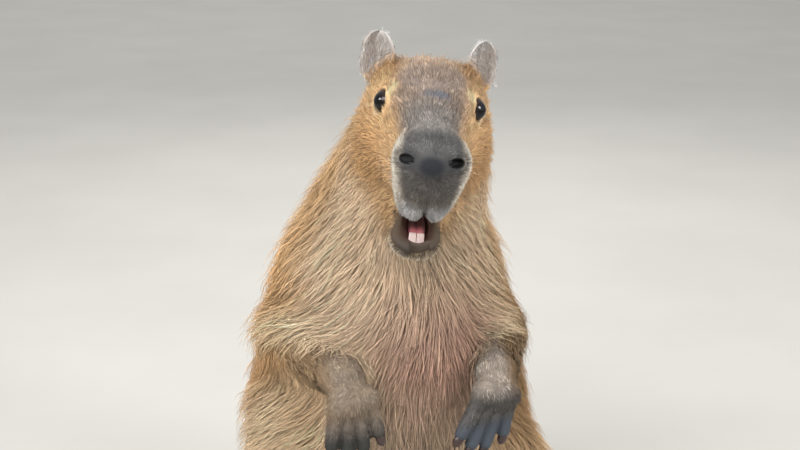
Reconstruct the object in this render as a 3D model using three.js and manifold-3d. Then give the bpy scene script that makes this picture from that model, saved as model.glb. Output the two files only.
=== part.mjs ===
// A capybara sitting up on its haunches, forepaws hanging and mouth open: a life-size still model.
// Millimetres. +Z is up, the animal faces -Y, and its own left side is +X. The floor is z = 0.
import * as THREE from "three";
import { mergeVertices } from "three/addons/utils/BufferGeometryUtils.js";
import Module from "manifold-3d";

const wasm = await Module();
wasm.setup();

// Driving dimensions. A subadult animal is about 0.84 of an adult one.
const GAP = 0.3;
const EYE_LEVEL = 640;
const EYE_FORWARD = 125;
const HEAD_SHIFT = 15;
const HEAD_TURN = THREE.MathUtils.degToRad(-10);
const HEAD_TILT = THREE.MathUtils.degToRad(5.5);
const HEAD_NOD = THREE.MathUtils.degToRad(12);
const EYE_RADIUS = 12.5;
const EYE_CENTRE = [41.5, 4, -1];
const EYE_FACING = [0.88, -0.46, 0.08];

// Mesh sizes of the skin, fine on the head and paws and coarse under the coat.
const CELL = { head: 12.4, jaw: 12.4, neck: 38, torso: 58, upper_arm: 40, forearm: 20, hand: 9.6, thigh: 46, foot: 15 };

// Vector helpers for points kept as plain triples.
const plus = (a, b, times = 1) => a.map((v, k) => v + times * b[k]);
const dot = (a, b) => a[0] * b[0] + a[1] * b[1] + a[2] * b[2];
const cross = (a, b) => [a[1] * b[2] - a[2] * b[1], a[2] * b[0] - a[0] * b[2], a[0] * b[1] - a[1] * b[0]];
const unit = (a) => a.map((v) => v / Math.hypot(...a));
const mix = (a, b, t) => a + t * (b - a);
const clamp = THREE.MathUtils.clamp;

// Flesh. A form is a function that gives the distance from a point to its surface, negative inside.
function ball([cx, cy, cz], [rx, ry, rz]) {
  return ([x, y, z]) => {
    const [a, b, c] = [(x - cx) / rx, (y - cy) / ry, (z - cz) / rz];
    const near = Math.hypot(a, b, c);
    const slope = Math.hypot(a / rx, b / ry, c / rz);
    return slope > 0 ? (near * (near - 1)) / slope : -Math.min(rx, ry, rz);
  };
}

function taper(start, end, startRadius, endRadius) {
  const along = plus(end, start, -1);
  return (p) => {
    const t = clamp(dot(plus(p, start, -1), along) / dot(along, along), 0, 1);
    return Math.hypot(...plus(plus(p, start, -1), along, -t)) - mix(startRadius, endRadius, t);
  };
}

// Two distances joined with a rounded fillet of the given reach.
function blend(a, b, reach) {
  const h = Math.max(reach - Math.abs(a - b), 0) / reach;
  return Math.min(a, b) - (h * h * reach) / 4;
}

const blended = (forms, reach) => (p) => forms.reduce((d, form) => blend(d, form(p), reach), Infinity);
const mirroredIn = ([x, y, z]) => [Math.abs(x), y, z];
const bothSides = (form) => (p) => form(mirroredIn(p));
const onSide = (side, form) => ([x, y, z]) => form([side * x, y, z]);

// The trunk: rump, belly, ribs, chest and the thick neck.
const trunk = blended([
  ball([0, 92, 122], [130, 122, 130]),
  ball([0, 34, 222], [160, 136, 155]),
  ball([-3, 6, 330], [138, 132, 150]),
  ball([-3, -8, 430], [94, 112, 118]),
], 60);
const neck = blended([
  taper([0, 6, 440], [13, -36, 545], 85, 69),
  taper([13, -36, 545], [15, -76, 604], 69, 58),
], 40);

// Limbs, written for the animal's left side. The two forepaws hang differently, and the shoulders lean to the right.
const LEAN = 6;
const leaning = ([x, y, z]) => [x + LEAN * Math.exp(-(((z - 430) / 60) ** 2)), y, z];
const SHOULDER = [75, -25, 438];
const ELBOW = [112, -28, 362];
const HIP = [82, 95, 122];
const KNEE = [112, -62, 198];
const ANKLE = [106, 12, 55];
const HEEL = [108, 20, 24];
const TOE_ROOT = [112, -92, 21];
const FOREARM_RADII = [31, 21];
const forearmStart = plus(ELBOW, [-2, -8, -6]);
const upperArm = taper(SHOULDER, ELBOW, 47, 36);
const thigh = blended([taper(HIP, KNEE, 84, 52), taper(plus(KNEE, [0, 4, -14]), ANKLE, 44, 28)], 24);

const PAWS = {
  left: { side: 1, wrist: [88, -128, 347], palm: [84, -152, 334], reach: [-24, -12, -57], spread: [-14.5, -5, 4] },
  right: { side: -1, wrist: [78, -136, 356], palm: [72, -160, 339], reach: [-2, -14, -52], spread: [-15, 2, 4] },
};
const FORE_TOES = [
  { at: -1.5, long: 0.72 },
  { at: -0.5, long: 1 },
  { at: 0.5, long: 1.02 },
  { at: 1.5, long: 0.82 },
];
const HIND_TOES = [
  { at: -1, long: 0.84 },
  { at: 0, long: 1 },
  { at: 1, long: 0.86 },
];
const FORE_TOE_RADIUS = 8.5;
const HIND_TOE_RADIUS = 12.5;
const HIND_TOE_LENGTH = 58;

const forearm = ({ wrist }) => taper(forearmStart, wrist, ...FOREARM_RADII);

// Start and end of one front toe: a fan from the palm along the paw's reach.
function foreToe({ palm, reach, spread }, { at, long }) {
  const root = plus(plus(palm, spread, 0.75 * at), reach, 0.1);
  return [root, plus(plus(root, reach, 0.8 * long), spread, 0.35 * at)];
}

function hindToe({ at, long }) {
  const root = plus(TOE_ROOT, [15 * at, 4 * Math.abs(at), -7]);
  return [root, plus(root, [7 * at, -HIND_TOE_LENGTH * long, -2.5])];
}

const hand = (paw) => blended([
  taper(paw.wrist, paw.palm, 21, 17),
  taper(plus(paw.palm, paw.spread, -0.9), plus(paw.palm, paw.spread, 0.9), 13, 13),
  blended(FORE_TOES.map((toe) => taper(...foreToe(paw, toe), FORE_TOE_RADIUS, FORE_TOE_RADIUS - 1)), 3),
], 9);

const foot = blended([
  taper(plus(KNEE, [0, 4, -14]), ANKLE, 44, 28),
  taper(ANKLE, HEEL, 28, 27),
  taper(HEEL, TOE_ROOT, 26, 21),
  ball(TOE_ROOT, [30, 24, 20]),
  blended(HIND_TOES.map((toe) => taper(...hindToe(toe), HIND_TOE_RADIUS + 1, HIND_TOE_RADIUS)), 4),
], 12);

// The head has its own frame: its origin is midway between the eyes, and it is turned, tilted and nodded.
const headPose = new THREE.Matrix4()
  .makeTranslation(HEAD_SHIFT, -EYE_FORWARD, EYE_LEVEL)
  .multiply(new THREE.Matrix4().makeRotationZ(HEAD_TURN))
  .multiply(new THREE.Matrix4().makeRotationY(HEAD_TILT))
  .multiply(new THREE.Matrix4().makeRotationX(HEAD_NOD));
const headInverse = headPose.clone().invert();
const moved = (matrix, p) => new THREE.Vector3(...p).applyMatrix4(matrix).toArray();
const turned = (matrix, v) => new THREE.Vector3(...v).transformDirection(matrix).toArray();

const skull = blended([
  ball([0, 50, -13], [57, 62, 39]),
  ball([0, -4, -11], [38, 60, 28]),
  bothSides(ball([35, 4, 10], [9, 20, 7])),
  bothSides(ball([32, 26, -52], [30, 50, 40])),
  ball([0, 60, -62], [60, 50, 50]),
], 20);
const muzzle = blended([
  taper([0, -18, -13], [0, -106, -12], 36, 27),
  ball([0, -107, -10], [34.5, 29, 26]),
  bothSides(taper([18, -14, -45], [4.5, -92, -44], 35, 23)),
  bothSides(ball([10, -107, -52], [12, 25, 24])),
], 24);
const mandible = blended([
  taper([0, 22, -84], [-2, -80, -104], 36, 19),
  ball([-2, -88, -104], [27, 24, 15]),
], 16);
const headForms = blended([skull, muzzle, mandible], 16);
const head = (p) => headForms(moved(headInverse, p));

// Everything joined, for the parts that meet the trunk.
const body = (p) => {
  const q = mirroredIn(leaning(p));
  let d = blend(trunk(p), neck(p), 70);
  d = blend(d, thigh(q), 34);
  d = blend(d, upperArm(q), 30);
  return blend(d, head(p), 34);
};

// A closed skin over a form inside a box: one vertex in each cell that the surface crosses, one quad across each
// crossed grid edge. The outermost samples count as outside, so the skin closes at the box.
function skin(form, low, high, cell) {
  const n = low.map((v, k) => Math.ceil((high[k] - v) / cell) + 1);
  const index = (i, j, k) => (k * n[1] + j) * n[0] + i;
  const corner = (i, j, k) => [low[0] + i * cell, low[1] + j * cell, low[2] + k * cell];
  const value = new Float64Array(n[0] * n[1] * n[2]);
  for (let k = 0; k < n[2]; k++)
    for (let j = 0; j < n[1]; j++)
      for (let i = 0; i < n[0]; i++) {
        const edge = [i, j, k].some((v, axis) => v === 0 || v === n[axis] - 1);
        value[index(i, j, k)] = edge ? cell : form(corner(i, j, k));
      }
  const positions = [];
  const vertexOf = new Map();
  const vertex = (i, j, k) => {
    const key = index(i, j, k);
    if (!vertexOf.has(key)) {
      vertexOf.set(key, positions.length);
      positions.push(settled(form, cellCentre(value, index, corner, i, j, k, cell), cell));
    }
    return vertexOf.get(key);
  };
  const triangles = [];
  for (let k = 0; k < n[2] - 1; k++)
    for (let j = 0; j < n[1] - 1; j++)
      for (let i = 0; i < n[0] - 1; i++)
        for (let axis = 0; axis < 3; axis++) {
          if ([i, j, k].some((v, a) => v === 0 && a !== axis)) continue;
          const here = value[index(i, j, k)];
          const step = [0, 1, 2].map((a) => (a === axis ? 1 : 0));
          const there = value[index(i + step[0], j + step[1], k + step[2])];
          if (here < 0 === there < 0) continue;
          const [u, v] = [(axis + 1) % 3, (axis + 2) % 3];
          const cells = [[0, 0], [-1, 0], [-1, -1], [0, -1]].map(([a, b]) => {
            const c = [i, j, k];
            c[u] += a;
            c[v] += b;
            return vertex(...c);
          });
          if (here >= 0) cells.reverse();
          triangles.push(cells[0], cells[1], cells[2], cells[0], cells[2], cells[3]);
        }
  return faceted(positions, triangles);
}

const faceted = (points, triangles) => new wasm.Manifold(new wasm.Mesh({
  numProp: 3,
  vertProperties: new Float32Array(points.flat()),
  triVerts: new Uint32Array(triangles),
}));

// The mean of the points where the surface crosses a cell's edges.
function cellCentre(value, index, corner, i, j, k, cell) {
  const sum = [0, 0, 0];
  let count = 0;
  for (let axis = 0; axis < 3; axis++)
    for (let a = 0; a < 2; a++)
      for (let b = 0; b < 2; b++) {
        const c = [i, j, k];
        c[(axis + 1) % 3] += a;
        c[(axis + 2) % 3] += b;
        const end = [...c];
        end[axis] += 1;
        const [v, w] = [value[index(...c)], value[index(...end)]];
        if (v < 0 === w < 0) continue;
        const p = corner(...c);
        p[axis] += (cell * v) / (v - w);
        p.forEach((x, m) => (sum[m] += x));
        count++;
      }
  return sum.map((s) => s / count);
}

// A form's outward direction at a point.
function normalOf(form, p) {
  const step = 0.5;
  return unit([0, 1, 2].map((axis) => {
    const [before, after] = [[...p], [...p]];
    before[axis] -= step;
    after[axis] += step;
    return form(after) - form(before);
  }));
}

// A point near the surface moved on to it, by less than half a cell.
function settled(form, p, cell) {
  let at = p;
  for (let turn = 0; turn < 3; turn++) at = plus(at, normalOf(form, at), -form(at));
  const shift = plus(at, p, -1);
  const length = Math.hypot(...shift);
  return length > 0.45 * cell ? plus(p, shift, (0.45 * cell) / length) : at;
}

// Closed three.js geometry as a solid that can be joined and cut.
function solid(geometry, matrix = new THREE.Matrix4()) {
  const bare = geometry.clone().applyMatrix4(matrix);
  for (const name of Object.keys(bare.attributes)) if (name !== "position") bare.deleteAttribute(name);
  const merged = mergeVertices(bare, 1e-4);
  return new wasm.Manifold(new wasm.Mesh({
    numProp: 3,
    vertProperties: merged.attributes.position.array,
    triVerts: new Uint32Array(merged.index.array),
  }));
}

// A matrix that carries +Z to a direction and the origin to a point.
function aimed(point, direction) {
  const turn = new THREE.Quaternion().setFromUnitVectors(
    new THREE.Vector3(0, 0, 1), new THREE.Vector3(...unit(direction)));
  return new THREE.Matrix4().compose(new THREE.Vector3(...point), turn, new THREE.Vector3(1, 1, 1));
}

// Cutters. Everything on a plane's side that its normal points to, set back from it by half the gap.
const WIDE = 1400;
const sideOf = ({ point, normal }, setback = GAP / 2) =>
  solid(new THREE.BoxGeometry(WIDE, WIDE, WIDE), aimed(plus(point, unit(normal), WIDE / 2 + setback), normal));
const opposite = ({ point, normal }) => sideOf({ point, normal: normal.map((v) => -v) });

function oval(centre, radii, direction, grow = 0) {
  const shape = new THREE.SphereGeometry(1, 16, 10).scale(...radii.map((r) => r + grow));
  return solid(shape, aimed(centre, direction));
}

function sleeve(start, end, startRadius, endRadius, grow = 0) {
  const along = plus(end, start, -1);
  const length = Math.hypot(...along);
  const shape = new THREE.CylinderGeometry(endRadius + grow, startRadius + grow, length + 2 * grow, 12);
  shape.rotateX(Math.PI / 2).translate(0, 0, length / 2);
  return solid(shape, aimed(start, along));
}

// The largest closed body of a solid.
function largest(made) {
  return made.decompose().sort((a, b) => b.volume() - a.volume())[0];
}

const mirrored = (side, p) => [side * p[0], p[1], p[2]];

// Where the body is parted. Normals point to the first-named side.
const nape = { point: moved(headPose, [0, 98, 30]), normal: turned(headPose, [0, -0.93, 0.37]) };
const throat = { point: moved(headPose, [0, 20, -97]), normal: turned(headPose, [0, -0.62, 0.78]) };
const collar = { point: [0, -20, 500], normal: [0, -0.4, 0.92] };
const floor = { point: [0, 0, -GAP / 2], normal: [0, 0, 1] };
const headCutter = (setback) => sideOf(nape, setback).intersect(sideOf(throat, setback));

const UPPER_ARM_OVAL = { centre: [116, -27, 398], radii: [42, 54, 78], direction: plus(SHOULDER, ELBOW, -1) };
const THIGH_OVAL = { centre: [128, 12, 168], radii: [74, 92, 148], direction: plus(KNEE, HIP, -1) };
const sideOval = (side, { centre, radii, direction }, grow) =>
  oval(mirrored(side, centre), radii, mirrored(side, direction), grow);
const upperArmCutter = (side, grow) => sideOval(side, UPPER_ARM_OVAL, grow);
const forearmLine = (paw, t) => mirrored(paw.side, plus(forearmStart, plus(paw.wrist, forearmStart, -1), t));
const forearmCut = (paw, t) => ({ point: forearmLine(paw, t), normal: plus(forearmLine(paw, 1), forearmLine(paw, 0), -1) });
const ELBOW_CUT = 0.16;
const WRIST_CUT = 0.97;
const forearmSleeve = (paw, grow) => {
  const radius = (t) => mix(...FOREARM_RADII, t) + 2;
  return sleeve(forearmLine(paw, ELBOW_CUT), forearmLine(paw, 1.2), radius(ELBOW_CUT), radius(1.2), grow);
};
const thighCutter = (side, grow) =>
  sideOval(side, THIGH_OVAL, grow)
    .add(sleeve(mirrored(side, plus(KNEE, [0, 4, -14])), mirrored(side, [106, 12, 40]), 50, 36, grow));

// The node that a point of the coat belongs to.
const within = (centre, radii, direction, p) => {
  const q = moved(aimed(centre, direction).invert(), p);
  return Math.hypot(...q.map((v, k) => v / radii[k])) < 1;
};
const above = ({ point, normal }, p) => dot(plus(p, point, -1), normal) > 0;
function nodeAt(p) {
  const q = [Math.abs(p[0]), p[1], p[2]];
  const name = p[0] > 0 ? "_left" : "_right";
  if (p[2] < 75 && q[0] > 72 && p[1] < 60) return "foot" + name;
  if (above(nape, p) && above(throat, p)) return "head";
  if (within(UPPER_ARM_OVAL.centre, UPPER_ARM_OVAL.radii, UPPER_ARM_OVAL.direction, q)) return "upper_arm" + name;
  if (within(THIGH_OVAL.centre, THIGH_OVAL.radii, THIGH_OVAL.direction, q) || thigh(q) < 1) return "thigh" + name;
  return above(collar, p) ? "neck" : "torso";
}

// The lie of the coat: down the trunk, outwards and back at its sides, and forwards down the thigh.
function lieAt(p) {
  const onThigh = nodeAt(p).startsWith("thigh");
  const outwards = clamp((Math.abs(p[0]) - 70) / 60, 0, 0.15);
  return [Math.sign(p[0]) * outwards, onThigh ? -0.15 : 0.2, -1];
}

// Locks of the coat in staggered rows, each along a line that follows the lie over the outermost flesh.
const LOCK = { columns: 12, start: 500, step: 88, length: 142, shortest: 60, widest: 86, sunk: 9, lift: 11, thick: 7 };
const LOCK_RINGS = [[0, 0.7], [0.36, 1], [0.74, 0.74], [1, 0]];
const BELLY_STARTS = [-112, -68].map((angle) => ({ height: 290, angle: THREE.MathUtils.degToRad(angle) }));
const LINE_STEP = 8;

function randomSeries(seed) {
  let state = seed;
  return (low, high) => {
    state = (state * 1664525 + 1013904223) % 4294967296;
    return mix(low, high, state / 4294967296);
  };
}
const draw = randomSeries(1636);

function onSurface(p, turns = 4) {
  let at = p;
  for (let turn = 0; turn < turns; turn++) at = plus(at, normalOf(body, at), -body(at));
  return at;
}

// The trunk's middle at a height, and where a level ray from outside first meets the flesh.
const middleAt = (z) => [0.02 * z, mix(75, -45, clamp((z - 60) / 560, 0, 1)), z];
function outermost(z, angle) {
  const out = [Math.cos(angle), Math.sin(angle), 0];
  let r = 290;
  while (body(plus(middleAt(z), out, r)) > 1) r -= Math.max(0.7 * body(plus(middleAt(z), out, r)), 1);
  return onSurface(plus(middleAt(z), out, r));
}

// A line over the flesh from a point, along the lie or against it, to the head or the floor.
function streak(start, way) {
  const line = [start];
  while (line.length < 90) {
    const at = line[line.length - 1];
    const out = normalOf(body, at);
    const lie = lieAt(at);
    const along = unit(plus(lie, out, -dot(lie, out)));
    const next = onSurface(plus(at, along, way * LINE_STEP), 2);
    if (nodeAt(next) === "head" || next[2] < 14) break;
    line.push(next);
  }
  return line;
}

// A streak parted where it passes from one node to another or comes too near a paw.
const pawRoom = (p) => Math.min(...Object.values(PAWS).map((paw) => hand(paw)([paw.side * p[0], p[1], p[2]])));
function stretches(line) {
  const parts = [];
  for (const p of line) {
    const node = pawRoom(p) < 15 ? "bare" : nodeAt(p);
    if (!parts.length || parts[parts.length - 1].node !== node) parts.push({ node, line: [] });
    parts[parts.length - 1].line.push(p);
  }
  return parts.filter(({ node }) => !/bare|foot/.test(node));
}

function lockSolid(line, width, sunk) {
  const points = [];
  const last = line.length - 1;
  for (const [s, spread] of LOCK_RINGS) {
    const k = Math.round(s * last);
    const at = line[k];
    const along = unit(plus(line[Math.min(k + 1, last)], line[Math.max(k - 1, 0)], -1));
    const out = normalOf(body, at);
    const height = mix(-sunk, LOCK.lift, s ** 0.75);
    if (s === 1) {
      points.push(plus(at, out, height));
      continue;
    }
    const across = unit(cross(out, along));
    const edge = (way) => {
      const p = onSurface(plus(at, across, 0.5 * way * width * spread), 3);
      return plus(p, normalOf(body, p), height - 3.5);
    };
    points.push(edge(-1), plus(at, out, height - LOCK.thick / 2), edge(1), plus(at, out, height + LOCK.thick / 2));
  }
  const triangles = [0, 1, 2, 0, 2, 3];
  for (let ring = 0; ring < LOCK_RINGS.length - 1; ring++)
    for (let k = 0; k < 4; k++) {
      const [a, b] = [4 * ring + k, 4 * ring + ((k + 1) % 4)];
      if (ring === LOCK_RINGS.length - 2) triangles.push(a, points.length - 1, b);
      else triangles.push(a, a + 4, b + 4, a, b + 4, b);
    }
  const lock = faceted(points, triangles);
  return lock.volume() > 0 ? lock : faceted(points, triangles.reverse());
}

// All the locks, by the node they are rooted in.
function growCoat() {
  const coat = {};
  const ring = Array.from({ length: LOCK.columns }, (_, k) => (2 * Math.PI * (k - 0.25 + draw(-0.1, 0.1))) / LOCK.columns);
  const lines = ring.map((angle) => outermost(LOCK.start, angle))
    .map((start) => [...streak(start, -1).reverse(), ...streak(start, 1).slice(1)]);
  lines.push(...BELLY_STARTS.map(({ height, angle }) => streak(outermost(height, angle), 1)));
  for (const [column, line] of lines.entries()) {
    for (const { node, line: stretch } of stretches(line)) {
      const steps = (length) => Math.round(length / LINE_STEP);
      let root = 0;
      let first = true;
      while (stretch.length - 1 - root >= steps(LOCK.shortest)) {
        const piece = stretch.slice(root, root + steps(LOCK.length * draw(0.88, 1.1)) + 1);
        const middle = middleAt(piece[0][2]);
        const girth = 2 * Math.PI * Math.hypot(piece[0][0] - middle[0], piece[0][1] - middle[1]);
        const width = Math.min((1.16 * girth) / LOCK.columns, LOCK.widest) * draw(0.9, 1.08);
        (coat[node] ??= []).push(lockSolid(piece, width, first ? 3 : LOCK.sunk));
        root += steps(LOCK.step * (first && column % 2 ? 0.5 : 1) * draw(0.9, 1.1));
        first = false;
      }
    }
  }
  return coat;
}

const heelCutter = (side) => wasm.Manifold.hull([[ANKLE, 33], [HEEL, 31], [TOE_ROOT, 30]]
  .map(([p, radius]) => solid(new THREE.SphereGeometry(radius, 10, 6), aimed(mirrored(side, p), [0, 0, 1]))));

// Materials, from the photograph's colours.
const finish = (color, roughness) => new THREE.MeshStandardMaterial({ color, roughness, metalness: 0 });
const COAT = finish(0xb98d5c, 0.9);
const FACE = finish(0xa68058, 0.9);
const PAW = finish(0x5d5f63, 0.75);
const CLAW = finish(0x3a2f30, 0.5);
const EAR = finish(0xb3a59c, 0.85);
const EYE = finish(0x120d0b, 0.06);
const TONGUE = finish(0xb8606a, 0.4);
const TOOTH = finish(0xe6ddd2, 0.35);

const model = new THREE.Group();

// Edges shorter than the first length are merged, and all points drawn in by the second, so that no folds touch.
const SMALLEST_EDGE = 0.05;
const DRAWN_IN = 0.02;

function addNode(name, made, material) {
  const merged = largest(made).asOriginal().setTolerance(SMALLEST_EDGE);
  const { numProp, vertProperties, triVerts } = largest(merged).getMesh();
  const points = new Float32Array((vertProperties.length / numProp) * 3);
  for (let v = 0; v < points.length / 3; v++)
    points.set(vertProperties.subarray(v * numProp, v * numProp + 3), v * 3);
  const geometry = new THREE.BufferGeometry();
  geometry.setAttribute("position", new THREE.BufferAttribute(points, 3));
  geometry.setIndex(new THREE.BufferAttribute(triVerts, 1));
  geometry.computeVertexNormals();
  const normals = geometry.attributes.normal.array;
  for (let k = 0; k < points.length; k++) points[k] -= DRAWN_IN * normals[k];
  const mesh = new THREE.Mesh(geometry, material);
  mesh.name = name;
  model.add(mesh);
}

// Eyes and lids, in the head's frame.
const eyeCentre = (side) => mirrored(side, EYE_CENTRE);
const eyeball = (side, grow = 0) => {
  const shape = new THREE.SphereGeometry(EYE_RADIUS + grow, 14, 9);
  return solid(shape, headPose.clone().multiply(aimed(eyeCentre(side), mirrored(side, EYE_FACING))));
};

// A lid is a shell round the eye with an almond opening.
function lids(side) {
  const place = headPose.clone().multiply(aimed(eyeCentre(side), mirrored(side, EYE_FACING)));
  const shell = solid(new THREE.SphereGeometry(EYE_RADIUS + 2.8, 14, 10), place);
  const [halfWidth, halfHeight] = [11.5, 12];
  const almond = new THREE.Shape();
  almond.moveTo(-halfWidth, 0);
  almond.quadraticCurveTo(0, 2 * halfHeight - 4, halfWidth, 0);
  almond.quadraticCurveTo(0, -2 * halfHeight + 4, -halfWidth, 0);
  const opening = new THREE.ExtrudeGeometry(almond, { depth: 30, bevelEnabled: false, curveSegments: 5 });
  return [shell, solid(opening, place)];
}

// Ears: a cupped leaf of skin, hollow in front, on a stump that belongs to the head.
const EAR_HEIGHT = 46;
const EAR_CUP = 9;
const EAR_ROOT = 14;
const earPlace = (side) => (side > 0 ? [50.5, 60, 4] : [56, 60, 5]);
const earHalfWidth = (side) => (side > 0 ? 17.5 : 20);
const EAR_SEAT = [0.72, 0.15, 0.68];
const earPose = (side) => headPose.clone()
  .multiply(new THREE.Matrix4().makeTranslation(...mirrored(side, earPlace(side))))
  .multiply(new THREE.Matrix4().makeRotationY(side * 0.1))
  .multiply(new THREE.Matrix4().makeRotationZ(side * 0.42))
  .multiply(new THREE.Matrix4().makeRotationX(-0.12));

function earLeaf(side) {
  const [across, up] = [6, 7];
  const halfWidth = (t) => earHalfWidth(side) * (t < 0.45 ? mix(0.8, 1, Math.sin((t / 0.45) * Math.PI / 2))
    : Math.sqrt(1 - ((t - 0.45) / 0.565) ** 2.6));
  const positions = [];
  for (const face of [0, 1])
    for (let j = 0; j <= up; j++)
      for (let i = 0; i <= across; i++) {
        const t = 1 - (1 - j / up) ** 1.5;
        const u = (2 * i) / across - 1;
        const lean = -side * 4 * t * t;
        const thick = mix(5.5, 2.4, t) * (1 - 0.3 * u * u);
        const cup = EAR_CUP * (1 - u * u) * (1 - 0.6 * t * t);
        positions.push(halfWidth(t) * u + lean, cup + face * thick - 6 * t, t * (EAR_HEIGHT + EAR_ROOT) - EAR_ROOT);
      }
  const at = (face, i, j) => face * (across + 1) * (up + 1) + j * (across + 1) + i;
  const triangles = [];
  const quad = (a, b, c, d) => triangles.push(a, b, c, a, c, d);
  for (let j = 0; j < up; j++)
    for (let i = 0; i < across; i++) {
      quad(at(0, i, j), at(0, i + 1, j), at(0, i + 1, j + 1), at(0, i, j + 1));
      triangles.push(at(1, i, j), at(1, i + 1, j + 1), at(1, i + 1, j), at(1, i, j), at(1, i, j + 1), at(1, i + 1, j + 1));
    }
  for (let i = 0; i < across; i++) {
    quad(at(1, i, 0), at(1, i + 1, 0), at(0, i + 1, 0), at(0, i, 0));
    quad(at(0, i, up), at(0, i + 1, up), at(1, i + 1, up), at(1, i, up));
  }
  for (let j = 0; j < up; j++) {
    quad(at(0, 0, j), at(0, 0, j + 1), at(1, 0, j + 1), at(1, 0, j));
    quad(at(1, across, j), at(1, across, j + 1), at(0, across, j + 1), at(0, across, j));
  }
  const leaf = new THREE.BufferGeometry();
  leaf.setAttribute("position", new THREE.Float32BufferAttribute(positions, 3));
  leaf.setIndex(triangles);
  return solid(leaf, earPose(side));
}
const earPlane = (side) => ({
  point: moved(headPose, mirrored(side, plus(earPlace(side), EAR_SEAT, 6))),
  normal: turned(headPose, mirrored(side, EAR_SEAT)),
});

// Nostrils, the cleft of the upper lip and the open mouth, all cut from the head.
function nostril(side) {
  const shape = new THREE.SphereGeometry(1, 12, 8).scale(10.5, 13, 6);
  const place = headPose.clone()
    .multiply(new THREE.Matrix4().makeTranslation(...mirrored(side, [24, -129, 3])))
    .multiply(new THREE.Matrix4().makeRotationZ(side * 0.6))
    .multiply(new THREE.Matrix4().makeRotationX(-0.3))
    .multiply(new THREE.Matrix4().makeRotationY(side * -0.2));
  return solid(shape, place);
}

function lipCleft() {
  const wedge = new THREE.Shape([[-4.2, -86], [4.2, -86], [0.6, -40], [-0.6, -40]].map((p) => new THREE.Vector2(...p)));
  const shape = new THREE.ExtrudeGeometry(wedge, { depth: 24, bevelEnabled: false });
  return solid(shape.rotateX(Math.PI / 2), headPose.clone().multiply(new THREE.Matrix4().makeTranslation(0, -120, 0)));
}

// The gape seen from the side: a wedge that opens forwards from the mouth's corner.
const MOUTH_CORNER = [-78, -90];
function gape() {
  const outline = new THREE.Shape();
  outline.moveTo(...MOUTH_CORNER);
  outline.quadraticCurveTo(-93, -72, -108, -69);
  outline.lineTo(-160, -66);
  outline.lineTo(-160, -112);
  outline.lineTo(-112, -99);
  outline.quadraticCurveTo(-94, -99, ...MOUTH_CORNER);
  const shape = new THREE.ExtrudeGeometry(outline, { depth: 120, bevelEnabled: false, curveSegments: 5 });
  const sideways = new THREE.Matrix4().set(0, 0, 1, -60, 1, 0, 0, 0, 0, 1, 0, 0, 0, 0, 0, 1);
  return solid(shape, headPose.clone().multiply(sideways));
}

const mouthHollow = () => solid(new THREE.SphereGeometry(1, 16, 10).scale(16, 48, 19),
  headPose.clone().multiply(new THREE.Matrix4().makeTranslation(0, -72, -87)));
const tongueShape = (grow) => solid(new THREE.SphereGeometry(1, 12, 6).scale(11.5 + grow, 31 + grow, 8 + grow),
  headPose.clone().multiply(new THREE.Matrix4().makeTranslation(0, -72, -96)));
function incisor(side, grow) {
  const shape = new THREE.CylinderGeometry(0.9, 1, 24, 8).rotateX(Math.PI / 2).scale(3.9 + grow, 2.6 + grow, 1);
  return solid(shape, headPose.clone()
    .multiply(new THREE.Matrix4().makeTranslation(side * 4.3, -104, -99))
    .multiply(new THREE.Matrix4().makeRotationX(0.16)));
}

// The jaw is parted from the head along a line back from the mouth's corner.
function jawCutter(grow) {
  const [front, back, drop, width] = [-170, -18, 90, 240];
  const shape = new THREE.BoxGeometry(width + 2 * grow, back - front + 2 * grow, drop + 2 * grow);
  return solid(shape, headPose.clone()
    .multiply(new THREE.Matrix4().makeTranslation(0, MOUTH_CORNER[0], MOUTH_CORNER[1]))
    .multiply(new THREE.Matrix4().makeRotationX(0.1))
    .multiply(new THREE.Matrix4().makeTranslation(0, (front + back) / 2 - MOUTH_CORNER[0], -drop / 2)));
}

function buildHead() {
  const low = [-85, -300, 470];
  const high = [115, 0, 715];
  const whole = skin(body, low, high, CELL.head).intersect(headCutter(GAP / 2));
  const open = whole.subtract(gape()).subtract(mouthHollow());
  let upper = open.subtract(jawCutter(GAP / 2)).subtract(lipCleft());
  for (const side of [1, -1]) {
    const [lid, opening] = lids(side);
    upper = upper.subtract(nostril(side)).add(lid).subtract(opening).subtract(eyeball(side, GAP));
    upper = upper.add(earLeaf(side).intersect(opposite(earPlane(side))));
    const ear = side > 0 ? "ear_left" : "ear_right";
    addNode(ear, earLeaf(side).intersect(sideOf(earPlane(side))), EAR);
    addNode(side > 0 ? "eye_left" : "eye_right", eyeball(side), EYE);
  }
  addNode("head", upper.intersect(headCutter(GAP / 2)), FACE);
  const jawWhole = skin(body, low, high, CELL.jaw).intersect(headCutter(GAP / 2));
  let jaw = jawWhole.subtract(gape()).subtract(mouthHollow()).intersect(jawCutter(-GAP / 2));
  jaw = jaw.subtract(tongueShape(GAP));
  for (const side of [1, -1]) jaw = jaw.subtract(incisor(side, GAP));
  addNode("jaw", jaw, FACE);
  addNode("tongue", tongueShape(0), TONGUE);
  addNode("incisor_left", incisor(1, 0), TOOTH);
  addNode("incisor_right", incisor(-1, 0), TOOTH);
}

const coat = growCoat();
const furred = (flesh, node) => wasm.Manifold.union([flesh, ...(coat[node] ?? [])]);

function buildTrunk() {
  const neckNode = furred(skin(body, [-150, -260, 400], [150, 130, 720], CELL.neck), "neck")
    .intersect(sideOf(collar)).subtract(headCutter(-GAP / 2));
  addNode("neck", neckNode, COAT);
  let torso = furred(skin(body, [-240, -240, -40], [240, 270, 640], CELL.torso), "torso")
    .intersect(opposite(collar)).intersect(sideOf(floor));
  for (const side of [1, -1])
    torso = torso.subtract(upperArmCutter(side, GAP)).subtract(thighCutter(side, GAP)).subtract(heelCutter(side));
  for (const paw of Object.values(PAWS)) torso = torso.subtract(forearmSleeve(paw, GAP));
  addNode("torso", torso, COAT);
}

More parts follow.
